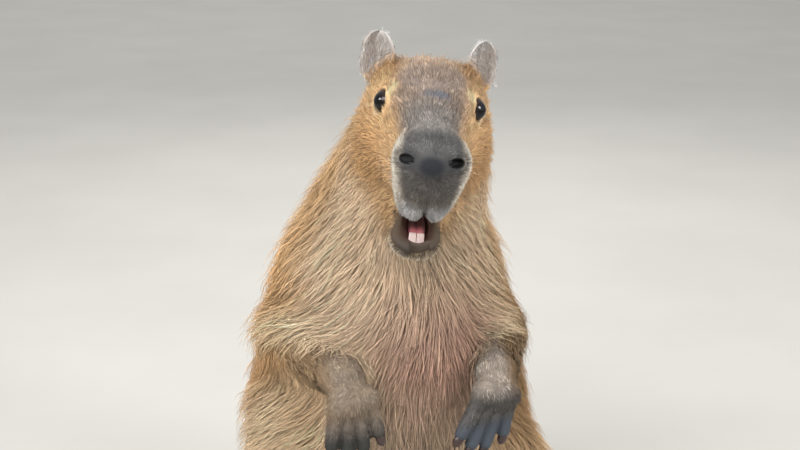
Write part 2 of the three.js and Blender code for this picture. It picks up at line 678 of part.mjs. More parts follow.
function claw(root, tip, radius, grow = 0) {
  const along = plus(tip, root, -1);
  const length = Math.hypot(...along);
  const shape = new THREE.SphereGeometry(1, 6, 4).rotateX(Math.PI / 2);
  shape.scale(radius + grow, 0.8 * radius + grow, 0.5 * length + grow);
  return solid(shape, aimed(plus(root, along, 0.5), along));
}

function buildForelimb(name, paw) {
  const { side } = paw;
  const boxed = (a, b) => [0, 1, 2].map((k) => (k === 0 ? [Math.min(side * a[0], side * b[0]), Math.max(side * a[0], side * b[0])] : [a[k], b[k]]));
  const region = (a, b) => {
    const r = boxed(a, b);
    return [r.map((v) => v[0]), r.map((v) => v[1])];
  };
  const arm = furred(skin(body, ...region([40, -130, 290], [200, 90, 510]), CELL.upper_arm), "upper_arm_" + name)
    .intersect(upperArmCutter(side, 0)).subtract(forearmSleeve(paw, GAP));
  addNode("upper_arm_" + name, arm, COAT);
  const limb = onSide(side, blended([upperArm, forearm(paw), hand(paw)], 14));
  const fore = skin(limb, ...region([30, -190, 240], [190, 40, 420]), CELL.forearm)
    .intersect(forearmSleeve(paw, 0)).intersect(opposite(forearmCut(paw, WRIST_CUT)));
  addNode("forearm_" + name, fore, PAW);
  let paddle = skin(limb, ...region([0, -215, 210], [125, -90, 370]), CELL.hand)
    .intersect(sideOf(forearmCut(paw, WRIST_CUT)));
  FORE_TOES.forEach((toe, i) => {
    const [root, tip] = foreToe(paw, toe).map((p) => mirrored(side, p));
    const along = unit(plus(tip, root, -1));
    const [from, to] = [plus(tip, along, -2), plus(tip, along, 15)];
    paddle = paddle.subtract(claw(from, to, 6.4, GAP));
    addNode(`claw_front_${name}_${i + 1}`, claw(from, to, 6.4), CLAW);
  });
  addNode("hand_" + name, paddle, PAW);
}

function buildHindLimb(name, side) {
  const ankle = { point: [0, 0, 62], normal: [0, 0, 1] };
  const span = (a, b) => (side > 0 ? [[a[0], a[1], a[2]], [b[0], b[1], b[2]]] : [[-b[0], a[1], a[2]], [-a[0], b[1], b[2]]]);
  const flesh = skin(body, ...span([20, -190, 20], [230, 240, 330]), CELL.thigh);
  const thighNode = furred(flesh, "thigh_" + name)
    .intersect(thighCutter(side, 0)).intersect(sideOf(ankle));
  addNode("thigh_" + name, thighNode, COAT);
  let sole = skin(onSide(side, foot), ...span([40, -200, -36], [180, 80, 120]), CELL.foot)
    .intersect(opposite(ankle)).intersect(sideOf(floor));
  HIND_TOES.forEach((toe, i) => {
    const [root, tip] = hindToe(toe).map((p) => mirrored(side, p));
    const along = unit(plus(tip, root, -1));
    const [from, to] = [plus(tip, along, -3), plus(tip, along, 20)];
    sole = sole.subtract(claw(from, to, 9.5, GAP));
    addNode(`claw_hind_${name}_${i + 1}`, claw(from, to, 9.5), CLAW);
  });
  addNode("foot_" + name, sole, PAW);
}

buildHead();
buildTrunk();
for (const [name, paw] of Object.entries(PAWS)) buildForelimb(name, paw);
buildHindLimb("left", 1);
buildHindLimb("right", -1);

// The origin is the middle of the footprint, on the floor.
const box = new THREE.Box3().setFromObject(model);
const middle = box.getCenter(new THREE.Vector3());
model.position.set(-middle.x, -middle.y, -box.min.z);

export default model;
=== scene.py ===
"""A capybara sitting up on its haunches with its mouth open, as a life-size model.

Sizes are millimetres in the animal's own frame and are turned to metres where a mesh is made. The animal
faces -Y, its own left is +X, and the head has a frame of its own, with its origin midway between the
eyes. Forms of the flesh are distances that are computed for many points at once. One skin is drawn on to
them, and the coat of hairs is sown on the skin and laid over it.
"""
import math

import bpy
import numpy as np
from mathutils import Matrix, Vector
from mathutils.kdtree import KDTree


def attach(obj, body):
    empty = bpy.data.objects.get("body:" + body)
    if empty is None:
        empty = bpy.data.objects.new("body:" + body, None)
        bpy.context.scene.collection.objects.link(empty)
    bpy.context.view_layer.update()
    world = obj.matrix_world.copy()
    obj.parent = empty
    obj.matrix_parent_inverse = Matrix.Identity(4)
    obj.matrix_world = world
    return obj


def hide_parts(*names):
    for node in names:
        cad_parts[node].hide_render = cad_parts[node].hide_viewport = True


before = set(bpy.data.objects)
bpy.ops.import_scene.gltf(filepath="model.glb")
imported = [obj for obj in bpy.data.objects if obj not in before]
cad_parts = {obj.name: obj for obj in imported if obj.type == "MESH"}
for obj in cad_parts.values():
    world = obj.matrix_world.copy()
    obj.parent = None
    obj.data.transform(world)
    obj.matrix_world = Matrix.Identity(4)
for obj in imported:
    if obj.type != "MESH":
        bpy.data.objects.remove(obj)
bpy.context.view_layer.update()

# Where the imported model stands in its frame, and the pose of the head, as in the solids.
STANDING = np.array((-1.28, 19.55, -0.02))
EYE_LEVEL = 640
EYE_FORWARD = 125
HEAD_SHIFT = 15
HEAD_TURN = math.radians(-10)
HEAD_TILT = math.radians(5.5)
HEAD_NOD = math.radians(12)
EYE_RADIUS = 12.5
EYE_CENTRE = (43.5, 4, -1.5)
EYE_FACING = (0.88, -0.46, 0.08)

HEAD_POSE = (Matrix.Translation((HEAD_SHIFT, -EYE_FORWARD, EYE_LEVEL)) @ Matrix.Rotation(HEAD_TURN, 4, "Z")
             @ Matrix.Rotation(HEAD_TILT, 4, "Y") @ Matrix.Rotation(HEAD_NOD, 4, "X"))
HEAD_AXES = np.array(HEAD_POSE.to_3x3())
HEAD_ORIGIN = np.array(HEAD_POSE.translation)


def to_head(points):
    """Points of the body's frame in the head's."""
    return (points - HEAD_ORIGIN) @ HEAD_AXES


def from_head(points):
    """Points of the head's frame in the body's."""
    return np.asarray(points, float) @ HEAD_AXES.T + HEAD_ORIGIN


def metres(points):
    """Millimetres of the animal as metres of the frame."""
    return (np.asarray(points, float) + STANDING) / 1000


def millimetres(points):
    """Metres of the frame as millimetres of the animal."""
    return points * 1000 - STANDING


# Flesh, as distances from many points at once to a form's surface, negative inside.
def ball(points, centre, radii):
    """The distance to a ball, or to an egg with three radii."""
    radii = np.asarray(radii, float)
    scaled = (points - centre) / radii
    near = np.linalg.norm(scaled, axis=1)
    slope = np.linalg.norm(scaled / radii, axis=1)
    return near * (near - 1) / np.maximum(slope, 1e-9)


def taper(points, start, end, start_radius, end_radius):
    """The distance to a rounded rod that narrows from its start to its end."""
    start = np.asarray(start, float)
    along = np.asarray(end, float) - start
    t = np.clip((points - start) @ along / (along @ along), 0, 1)
    away = np.linalg.norm(points - start - t[:, None] * along, axis=1)
    return away - (start_radius + t * (end_radius - start_radius))


def blend(a, b, reach):
    """Two distances joined with a rounded fillet."""
    h = np.maximum(reach - np.abs(a - b), 0) / reach
    return np.minimum(a, b) - h * h * reach / 4


def carve(a, b, reach):
    """The first form without the second, with a rounded edge."""
    return -blend(-a, b, reach)


def blended(distances, reach):
    """Many distances joined one after the other."""
    total = distances[0]
    for distance in distances[1:]:
        total = blend(total, distance, reach)
    return total


def fade(value, start, end):
    """0 at the start and 1 at the end, easing between them."""
    t = np.clip((value - start) / (end - start), 0, 1)
    return t * t * (3 - 2 * t)


def leaning(points):
    """Points moved sideways, most at the shoulders, so that these lean to the animal's right."""
    shift = LEAN * np.exp(-((points[:, 2] - LEAN_HEIGHT) / LEAN_REACH) ** 2)
    return points + np.column_stack((shift, 0 * shift, 0 * shift))


def folded(points):
    """Points with both sides of the animal laid on its left."""
    return np.column_stack((np.abs(points[:, 0]), points[:, 1], points[:, 2]))


# The body's forms: kind, then centre and radii, or both ends and the radius at each. Those of the arms,
# legs, skull and muzzle stand for both sides.
TRUNK = [
    ("ball", (0, 92, 122), (130, 122, 130)),
    ("ball", (0, 34, 222), (160, 136, 155)),
    ("ball", (-3, 6, 330), (138, 132, 150)),
    ("ball", (-3, -8, 430), (94, 112, 118)),
]
NECK = [
    ("taper", (0, 6, 440), (13, -36, 545), 85, 69),
    ("taper", (13, -36, 545), (15, -76, 604), 69, 58),
]
LEAN = 6
LEAN_HEIGHT = 430
LEAN_REACH = 60
# How much deeper the skin lies behind the animal's left shoulder, which is leaner than the right.
LEANER_FLANK = 9
SHOULDER = (75, -25, 438)
ELBOW = (112, -28, 362)
HIP = (82, 95, 122)
KNEE = (112, -62, 198)
SHIN_TOP = (112, -58, 184)
ANKLE = (106, 12, 55)
HEEL = (108, 20, 24)
TOE_ROOT = (112, -92, 21)
FOREARM_START = (110, -36, 356)
FOREARM_RADII = (31, 21)
UPPER_ARM = [("taper", SHOULDER, ELBOW, 47, 36)]
THIGH = [("taper", HIP, KNEE, 84, 52), ("taper", SHIN_TOP, ANKLE, 44, 28)]

# The front paws, each laid on the left: wrist, palm, the way of the toes, and the step from toe to toe.
PAWS = {
    "left": {"side": 1, "wrist": (88, -128, 347), "palm": (84, -152, 334),
             "reach": (-24, -12, -57), "spread": (-14.5, -5, 4)},
    "right": {"side": -1, "wrist": (78, -136, 356), "palm": (72, -160, 339),
              "reach": (-2, -14, -52), "spread": (-15, 2, 4)},
}
# Each toe's place in its fan and its share of the full length.
FORE_TOES = [(-1.5, 0.72), (-0.5, 1), (0.5, 1.02), (1.5, 0.82)]
HIND_TOES = [(-1, 0.84), (0, 1), (1, 0.86)]
FORE_TOE_RADIUS = 8.5
HIND_TOE_RADIUS = 12.5
HIND_TOE_LENGTH = 58


def fore_toe(paw, at, length):
    """Both ends of one front toe, in a fan from the palm."""
    palm, reach, spread = (np.array(paw[k], float) for k in ("palm", "reach", "spread"))
    root = palm + 0.75 * at * spread + 0.1 * reach
    return root, root + 0.8 * length * reach + 0.35 * at * spread


def hind_toe(at, length):
    """Both ends of one hind toe."""
    root = np.array(TOE_ROOT, float) + (15 * at, 4 * abs(at), -7)
    return root, root + (7 * at, -HIND_TOE_LENGTH * length, -2.5)


def hand_forms(paw):
    """The forearm, the wrist and the breadth of the palm."""
    palm, spread = np.array(paw["palm"], float), np.array(paw["spread"], float)
    return [("taper", FOREARM_START, paw["wrist"], *FOREARM_RADII),
            ("taper", paw["wrist"], paw["palm"], 21, 17),
            ("taper", palm - 0.9 * spread, palm + 0.9 * spread, 13, 13)]


def fore_toe_forms(paw):
    return [("taper", *fore_toe(paw, *toe), FORE_TOE_RADIUS, FORE_TOE_RADIUS - 1) for toe in FORE_TOES]


FOOT = [
    ("taper", SHIN_TOP, ANKLE, 44, 28),
    ("taper", ANKLE, HEEL, 28, 27),
    ("taper", HEEL, TOE_ROOT, 26, 21),
    ("ball", TOE_ROOT, (30, 24, 20)),
]
HIND_TOE_FORMS = [("taper", *hind_toe(*toe), HIND_TOE_RADIUS + 1, HIND_TOE_RADIUS) for toe in HIND_TOES]

# The head's forms, in its own frame.
SKULL = [
    ("ball", (0, 50, -13), (57, 62, 39)),
    ("ball", (0, -4, -11), (38, 60, 28)),
    ("ball", (35, 4, 10), (9, 20, 7)),
    ("ball", (32, 26, -52), (30, 50, 40)),
    ("ball", (0, 60, -62), (60, 50, 50)),
]
MUZZLE = [
    ("taper", (0, -18, -13), (0, -106, -12), 36, 26),
    ("ball", (-0.5, -107, -10), (32.5, 29, 26)),
    ("taper", (18, -14, -45), (3, -92, -44), 35, 21),
    ("ball", (9, -106, -50), (11, 24, 23)),
]
MANDIBLE = [
    ("taper", (0, 22, -84), (-3, -80, -104), 36, 18),
    ("ball", (-4, -88, -104), (24.5, 25, 15)),
]

# The crown is flat from ear to ear, and faces up and back.
CROWN_FACING = np.array((0, 0.485, 0.875))
CROWN_HEIGHT = 53.5

# How broad the fillets are where forms meet, within one part of the body and between parts.
WITHIN = {"trunk": 60, "neck": 40, "thigh": 24, "upper_arm": 1, "hand": 9, "fore_toes": 3,
          "foot": 12, "hind_toes": 4, "skull": 20, "muzzle": 24, "jaw": 16}
BETWEEN = {"neck": 70, "thigh": 34, "upper_arm": 30, "fore_toes": 9, "hind_toes": 12,
           "head": 34, "limbs": 7, "face": 16, "crown": 12}


def distance(points, forms, reach):
    """The distance to a list of forms, joined with fillets."""
    kinds = {"ball": ball, "taper": taper}
    return blended([kinds[kind](points, *sizes) for kind, *sizes in forms], reach)


def hand_distance(points, paw):
    near = points * (paw["side"], 1, 1)
    toes = distance(near, fore_toe_forms(paw), WITHIN["fore_toes"])
    return blend(distance(near, hand_forms(paw), WITHIN["hand"]), toes, BETWEEN["fore_toes"])


def foot_distance(points):
    near = folded(points)
    toes = distance(near, HIND_TOE_FORMS, WITHIN["hind_toes"])
    return blend(distance(near, FOOT, WITHIN["foot"]), toes, BETWEEN["hind_toes"])


def head_distance(local):
    near = folded(local)
    above_crown = CROWN_HEIGHT - near @ CROWN_FACING
    skull = carve(distance(near, SKULL, WITHIN["skull"]), above_crown, BETWEEN["crown"])
    bend = NOSE_BEND * fade(-local[:, 1], 60, 110) * fade(local[:, 2], -60, -30)
    bent = local - np.column_stack((bend, 0 * local[:, :2]))
    muzzle = distance(folded(bent), MUZZLE, WITHIN["muzzle"])
    return blended([skull, muzzle, distance(local, MANDIBLE, WITHIN["jaw"])], BETWEEN["face"])


# The mouth from the side: heights of its upper and lower edge at places from its corner forwards.
MOUTH_EDGE = {"along": (-170, -112, -108, -93, -78, -60), "upper": (-63, -66, -66, -73, -90, -108),
              "lower": (-115, -99, -98, -96, -90, -80)}
MOUTH_HOLLOW = ((-2, -72, -86), (16, 48, 19))
NOSTRIL_PLACE = (26, -128, 1)
NOSTRIL_SIZE = (9.6, 13, 3.9)
NOSTRIL_TURN = np.array(Matrix.Rotation(0.6, 3, "Z") @ Matrix.Rotation(-0.35, 3, "X")
                        @ Matrix.Rotation(0.15, 3, "Y"))
# How far the nostrils, and the whole muzzle, stand to the animal's left of the head's middle.
NOSE_SHIFT = (1, 0, 0)
NOSE_BEND = 2.5


def mouth_distance(local):
    upper = np.interp(local[:, 1], MOUTH_EDGE["along"], MOUTH_EDGE["upper"])
    lower = np.interp(local[:, 1], MOUTH_EDGE["along"], MOUTH_EDGE["lower"])
    wedge = 0.85 * np.maximum(local[:, 2] - upper, lower - local[:, 2])
    return blend(wedge, ball(local, *MOUTH_HOLLOW), 6)


def nostril_distance(local):
    near = (folded(local - NOSE_SHIFT) - NOSTRIL_PLACE) @ NOSTRIL_TURN
    return ball(near, (0, 0, 0), NOSTRIL_SIZE)


def cleft_distance(local):
    """The split of the upper lip, below the nose."""
    half = np.interp(local[:, 2], (-70, -56), (9, 0.8))
    return np.maximum.reduce([np.abs(local[:, 0] - 1) - half, local[:, 1] + 102, local[:, 2] + 53])


# The way the left eye's lids face, and the size of their opening.
LID_FACING = (0.78, -0.62, 0.05)
LID_THICKNESS = 2.4
LID_HALF_LENGTH = 11.8
LID_HEIGHTS = (11.2, 10.8)
EYE_AIM = Vector(LID_FACING).normalized()
EYE_ACROSS = Vector((0, 0, 1)).cross(EYE_AIM).normalized()
EYE_UP = EYE_AIM.cross(EYE_ACROSS)
EYE_AXES = np.array((EYE_ACROSS, EYE_UP, EYE_AIM))


def in_eye(local):
    """Points in the left eye's frame: across, up and out of the lids' opening."""
    return (folded(local) - EYE_CENTRE) @ EYE_AXES.T


def lid_distance(local):
    return np.linalg.norm(folded(local) - EYE_CENTRE, axis=1) - (EYE_RADIUS + LID_THICKNESS)


def lid_opening(local):
    """The almond between the lids, straight out of the eye."""
    x, y, z = in_eye(local).T
    bow = 1 - np.abs(x / LID_HALF_LENGTH) ** 2.8
    above, below = LID_HEIGHTS
    return np.maximum(0.75 * np.maximum(y - above * bow, -y - below * bow), 2 - z)


# The boxes around the head, hands and feet, and a distance that stands for far away.
HEAD_BOX = ((-110, -330, 430), (130, 60, 740))
HANDS_BOX = ((-150, -230, 220), (150, 20, 400))
TOES_BOX = ((-150, -230, 220), (150, -100, 400))
FEET_BOX = ((-190, -190, -30), (190, 80, 240))
FAR = 200.0


def in_box(points, low, high, form):
    """A form's distance at the points inside a box, and a long one elsewhere."""
    near = np.all((points > low) & (points < high), axis=1)
    d = np.full(len(points), FAR)
    if near.any():
        d[near] = form(points[near])
    return d


def trunk_distance(points):
    """The distance to the trunk with its neck, thighs and upper arms."""
    neck = distance(points, NECK, WITHIN["neck"])
    d = blend(distance(points, TRUNK, WITHIN["trunk"]), neck, BETWEEN["neck"])
    near = folded(leaning(points))
    d = blend(d, distance(near, THIGH, WITHIN["thigh"]), BETWEEN["thigh"])
    d = blend(d, distance(near, UPPER_ARM, WITHIN["upper_arm"]), BETWEEN["upper_arm"])
    x, _, z = points.T
    return d + LEANER_FLANK * fade(x, 40, 95) * fade(z, 350, 410) * (1 - fade(z, 480, 560))


def hands_distance(points):
    """The distance to the nearer forearm and hand."""
    return np.minimum(*(hand_distance(points, paw) for paw in PAWS.values()))


def limb_distance(points):
    """The distance to the forearms, hands and feet."""
    hands = in_box(points, *HANDS_BOX, hands_distance)
    return np.minimum(hands, in_box(points, *FEET_BOX, foot_distance))


def toe_distance(points):
    """The distance to the front toes alone."""
    def nearer(p):
        return np.minimum(*(distance(p * (paw["side"], 1, 1), fore_toe_forms(paw), WITHIN["fore_toes"])
                            for paw in PAWS.values()))
    return in_box(points, *TOES_BOX, nearer)


# How deep the skin lies under the coat: less on the bare and short-haired places than on the rest.
COAT_DEPTH = {"face": 0.8, "body": 2.5, "forearm": 6, "paw": 0.5}


def coat_depth(local):
    """The coat's depth at points of the head's frame, growing from the face to the body."""
    on_body = np.clip((np.linalg.norm(local + (0, 60, 40), axis=1) - 80) / 60, 0, 1)
    return COAT_DEPTH["face"] + on_body * (COAT_DEPTH["body"] - COAT_DEPTH["face"])


def limb_depth(points, depth):
    """The coat's depth, made small on the paws and feet and larger on the forearms."""
    limbs = 1 - fade(limb_distance(points), 3, 10)
    forearms = limbs * fade(-points[:, 1], 40, 75) * fade(points[:, 2], 240, 280)
    depth = depth + forearms * (COAT_DEPTH["forearm"] - depth)
    paws = limbs * np.maximum(fade(-points[:, 1], 100, 132), 1 - fade(points[:, 2], 50, 80))
    return depth + paws * (COAT_DEPTH["paw"] - depth)


def with_face(local, d):
    """The head's own cuts and lids, on a distance that has its flesh."""
    d = blend(d, lid_distance(local), 5)
    d = carve(d, lid_opening(local), 1.5)
    d = carve(d, mouth_distance(local), 6)
    d = carve(d, cleft_distance(local), 4)
    return carve(d, nostril_distance(local), 3)


def flesh(points):
    """The distance to the whole animal before its skin is lowered under the coat."""
    head = in_box(points, *HEAD_BOX, lambda p: head_distance(to_head(p)))
    d = blend(trunk_distance(points), head, BETWEEN["head"])
    return blend(d, limb_distance(points), BETWEEN["limbs"])


def animal(points):
    """The distance to the animal's skin, with its mouth, nostrils and lids, and flat where it sits."""
    d = flesh(points)
    local = to_head(points)
    d = carve(d + limb_depth(points, coat_depth(local)), points[:, 2] - 1, 8)
    face = (np.abs(local[:, 0]) < 60) & (local[:, 1] < 30) & (np.abs(d) < 60)
    d[face] = with_face(local[face], d[face])
    return d


def slope_at(points, value, form, step=0.4):
    """A form's outward direction, from the distances at the points and a step along each axis."""
    slope = np.column_stack([form(points + step * axis) - value for axis in np.eye(3)])
    return slope / np.maximum(np.linalg.norm(slope, axis=1), 1e-9)[:, None]


# Meshes.
def points_of(piece):
    """A piece's points as rows, in metres."""
    flat = np.empty(len(piece.data.vertices) * 3)
    piece.data.vertices.foreach_get("co", flat)
    return flat.reshape(-1, 3)


def move_points(piece, points):
    piece.data.vertices.foreach_set("co", np.asarray(points, float).ravel())
    piece.data.update()


def edges_of(piece):
    flat = np.empty(len(piece.data.edges) * 2, int)
    piece.data.edges.foreach_get("vertices", flat)
    return flat.reshape(-1, 2)


def new_sphere(segments, rings, radius=1):
    """A sphere at the origin, to be shaped, with nothing else selected."""
    bpy.ops.object.select_all(action="DESELECT")
    bpy.ops.mesh.primitive_uv_sphere_add(segments=segments, ring_count=rings, radius=radius)
    return bpy.context.object


def alone(piece):
    """Selects one piece and nothing else."""
    bpy.ops.object.select_all(action="DESELECT")
    piece.select_set(True)
    bpy.context.view_layer.objects.active = piece


def relaxed(points, edges, share):
    """Points moved a share of the way to the mean of their neighbours."""
    both = np.concatenate((edges, edges[:, ::-1]))
    start, end = both.T
    count = np.maximum(np.bincount(start, minlength=len(points)), 1)
    total = np.column_stack([np.bincount(start, points[end, axis], len(points)) for axis in range(3)])
    return points + share * (total / count[:, None] - points)


def settle(piece, form, turns, relax=0.5, longest=4.0, where=None):
    """Draws a piece's points on to a form, smoothing them along the surface between turns."""
    points = millimetres(points_of(piece))
    edges = edges_of(piece)
    chosen = np.ones(len(points), bool) if where is None else where(points)
    for _ in range(turns):
        near = points[chosen]
        value = form(near)
        out = slope_at(near, value, form)
        moved = relaxed(points, edges, relax)[chosen] - near if relax else np.zeros_like(near)
        along = moved - np.sum(moved * out, axis=1)[:, None] * out
        points[chosen] = near + along - np.clip(value, -longest, longest)[:, None] * out
    move_points(piece, metres(points))


def add_ball(centre, radii, turn=None):
    """A ball or an egg as a mesh, at its place in millimetres."""
    bpy.ops.mesh.primitive_uv_sphere_add(segments=24, ring_count=16, radius=1)
    piece = bpy.context.object
    piece.matrix_world = (Matrix.Translation(metres(centre)) @ (turn or Matrix()) @
                          Matrix.Diagonal((*(np.array(radii) / 1000), 1)))
    bpy.ops.object.transform_apply(location=True, rotation=True, scale=True)
    return piece


def add_taper(start, end, start_radius, end_radius):
    """A cone with a ball at each end."""
    along = Vector(end) - Vector(start)
    turn = along.to_track_quat("Z", "Y").to_matrix().to_4x4()
    bpy.ops.mesh.primitive_cone_add(vertices=24, radius1=start_radius / 1000, radius2=end_radius / 1000,
                                    depth=along.length / 1000)
    cone = bpy.context.object
    cone.matrix_world = Matrix.Translation(metres((Vector(start) + Vector(end)) / 2)) @ turn
    bpy.ops.object.transform_apply(location=True, rotation=True, scale=True)
    return [cone, add_ball(start, (start_radius,) * 3), add_ball(end, (end_radius,) * 3)]


def add_forms(forms, pose=lambda p: p, turn=None, sides=(1, -1)):
    """Balls and cones for a list of forms, on both sides where a form stands off the middle."""
    made = []
    for kind, first, second, *radii in forms:
        off_middle = first[0] > 5 or len(sides) == 1
        for side in sides if off_middle else (1,):
            flip = (side, 1, 1)
            start = pose(np.array(first) * flip)
            if kind == "ball":
                made.append(add_ball(start, second, turn))
            else:
                made += add_taper(start, pose(np.array(second) * flip), *radii)
    return made


def join(pieces, name):
    """Makes one piece of many and names it."""
    bpy.ops.object.select_all(action="DESELECT")
    for piece in pieces:
        piece.select_set(True)
    bpy.context.view_layer.objects.active = pieces[0]
    bpy.ops.object.join()
    joined = bpy.context.object
    joined.name = joined.data.name = name
    return joined


def apply(piece, kind, **settings):
    """Adds a modifier with its settings and applies it."""
    alone(piece)
    modifier = piece.modifiers.new(kind.title(), kind)
    for key, value in settings.items():
        setattr(modifier, key, value)
    bpy.ops.object.modifier_apply(modifier=modifier.name)


def edit_chosen(piece, kind, flags, operator, **settings):
    """Runs an edit-mode operator on the flagged points (VERT) or faces (FACE) of a piece."""
    alone(piece)
    parts = {"VERT": piece.data.vertices, "EDGE": piece.data.edges, "FACE": piece.data.polygons}
    for name, part in parts.items():
        part.foreach_set("select", flags if name == kind else np.zeros(len(part), bool))
    bpy.ops.object.mode_set(mode="EDIT")
    bpy.ops.mesh.select_mode(type=kind)
    operator(**settings)
    bpy.ops.object.mode_set(mode="OBJECT")


def subdivide(piece, chosen):
    """Halves the faces whose middle is chosen."""
    centres = np.empty(len(piece.data.polygons) * 3)
    piece.data.polygons.foreach_get("center", centres)
    flags = chosen(millimetres(centres.reshape(-1, 3)))
    edit_chosen(piece, "FACE", flags, bpy.ops.mesh.subdivide, number_cuts=1)


# The size of the cells that join the skin's forms, and of the finer ones of the mouth's cutter, in metres.
SKIN_CELL = 0.007
MOUTH_CELL = 0.004


def make_skin():
    """One closed, even skin over all the forms of the flesh."""
    turn = Matrix(HEAD_AXES).to_4x4()
    pieces = add_forms(TRUNK + NECK) + add_forms(UPPER_ARM + THIGH + FOOT + HIND_TOE_FORMS)
    for paw in PAWS.values():
        pieces += add_forms(hand_forms(paw) + fore_toe_forms(paw), sides=(paw["side"],))
    pieces += add_forms(SKULL + MUZZLE + MANDIBLE, from_head, turn)
    skin = join(pieces, "skin")
    apply(skin, "REMESH", mode="VOXEL", voxel_size=SKIN_CELL)
    return skin


# The open mouth's outline from the side, in the head's frame: forwards or back, and up.
MOUTH_WEDGE = [(-78, -90), (-108, -69), (-160, -66), (-160, -112), (-112, -99)]


def mouth_cutter():
    """A block shaped to the open mouth, with a ball for its hollow."""
    bpy.ops.object.select_all(action="DESELECT")
    bpy.ops.mesh.primitive_cylinder_add(vertices=len(MOUTH_WEDGE), radius=0.03, depth=0.12)
    wedge = bpy.context.object
    rings = points_of(wedge)
    shaped = np.empty_like(rings)
    for side in (-1, 1):
        ring = np.sign(rings[:, 2]) == side
        shaped[ring] = [(60 * side, y, z) for y, z in MOUTH_WEDGE]
    move_points(wedge, metres(from_head(shaped)))
    alone(wedge)
    bpy.ops.object.mode_set(mode="EDIT")
    bpy.ops.mesh.select_all(action="SELECT")
    bpy.ops.mesh.normals_make_consistent(inside=False)
    bpy.ops.object.mode_set(mode="OBJECT")
    hollow = add_ball(from_head(MOUTH_HOLLOW[0]), MOUTH_HOLLOW[1], Matrix(HEAD_AXES).to_4x4())
    cutter = join([wedge, hollow], "mouth_cutter")
    apply(cutter, "REMESH", mode="VOXEL", voxel_size=MOUTH_CELL)
    return cutter


def cut(piece, cutter):
    """Takes one piece out of another."""
    apply(piece, "BOOLEAN", operation="DIFFERENCE", solver="EXACT", object=cutter)
    bpy.data.objects.remove(cutter)


def unwrap(piece):
    """Lays the piece's surface out flat, for the baked picture."""
    alone(piece)
    bpy.ops.object.mode_set(mode="EDIT")
    bpy.ops.mesh.select_all(action="SELECT")
    bpy.ops.uv.smart_project(angle_limit=math.radians(66), island_margin=0.004)
    bpy.ops.object.mode_set(mode="OBJECT")


# Where the skin gets more points. Each takes points of the body's frame and says which are meant.
def on_head(points):
    local = to_head(points)
    return (local[:, 1] < 75) & (local[:, 2] > -125) & (head_distance(local) < 14)


def on_feet(points):
    return (foot_distance(points) < 6) & (points[:, 2] < 80) & (points[:, 1] < -20)


def on_hands(points):
    return (hands_distance(points) < 4) & (points[:, 1] < -100)


def on_fine_parts(points):
    """The head, hands and feet."""
    return on_head(points) | on_hands(points) | on_feet(points)


def on_face(points):
    """The muzzle, mouth and eyes."""
    local = to_head(points)
    muzzle = (local[:, 1] < -72) & (head_distance(local) < 12) & (local[:, 2] > -122)
    return muzzle | (np.linalg.norm(folded(local) - EYE_CENTRE, axis=1) < 25)


def on_features(points):
    """The rims of the eyes, nostrils and mouth."""
    local = to_head(points)
    eyes = np.linalg.norm(folded(local) - EYE_CENTRE, axis=1) < 19
    nose = nostril_distance(local) < 5
    lips = (np.abs(mouth_distance(local)) < 5) & (head_distance(local) > -16) & (local[:, 1] < -70)
    split = (cleft_distance(local) < 5) & (local[:, 1] < -100)
    return eyes | nose | lips | split


# The skin: joined, cut open at the mouth, drawn on to the animal's form, and made finer where it is
# looked at most.
skin = make_skin()
cut(skin, mouth_cutter())
apply(skin, "REMESH", mode="VOXEL", voxel_size=SKIN_CELL)
subdivide(skin, on_hands)
settle(skin, animal, 4, 0.15, where=on_hands)
unwrap(skin)
settle(skin, animal, 4)
for chosen, turns, relax in ((on_fine_parts, 5, 0.4), (on_face, 3, 0.5), (on_features, 8, 0.35)):
    subdivide(skin, chosen)
    settle(skin, animal, turns, relax, where=chosen)
settle(skin, animal, 1, relax=0, where=on_face)


# Ears: cupped leaves, hollow in front, joined to the skin.
EAR_PLACES = {1: (50.5, 60, 4), -1: (56, 60, 5)}
EAR_HALF_WIDTHS = {1: 17, -1: 19.5}
EAR_HEIGHT = 46
# How far the ear's root goes into the head, and how deep its cup is.
EAR_ROOT = 14
EAR_CUP = 9


def ear_pose(side):
    """Where an ear stands and how it is turned: 1 is the animal's left and -1 its right."""
    x, y, z = EAR_PLACES[side]
    return (HEAD_POSE @ Matrix.Translation((side * x, y, z)) @ Matrix.Rotation(side * 0.1, 4, "Y")
            @ Matrix.Rotation(side * 0.42, 4, "Z") @ Matrix.Rotation(-0.12, 4, "X"))


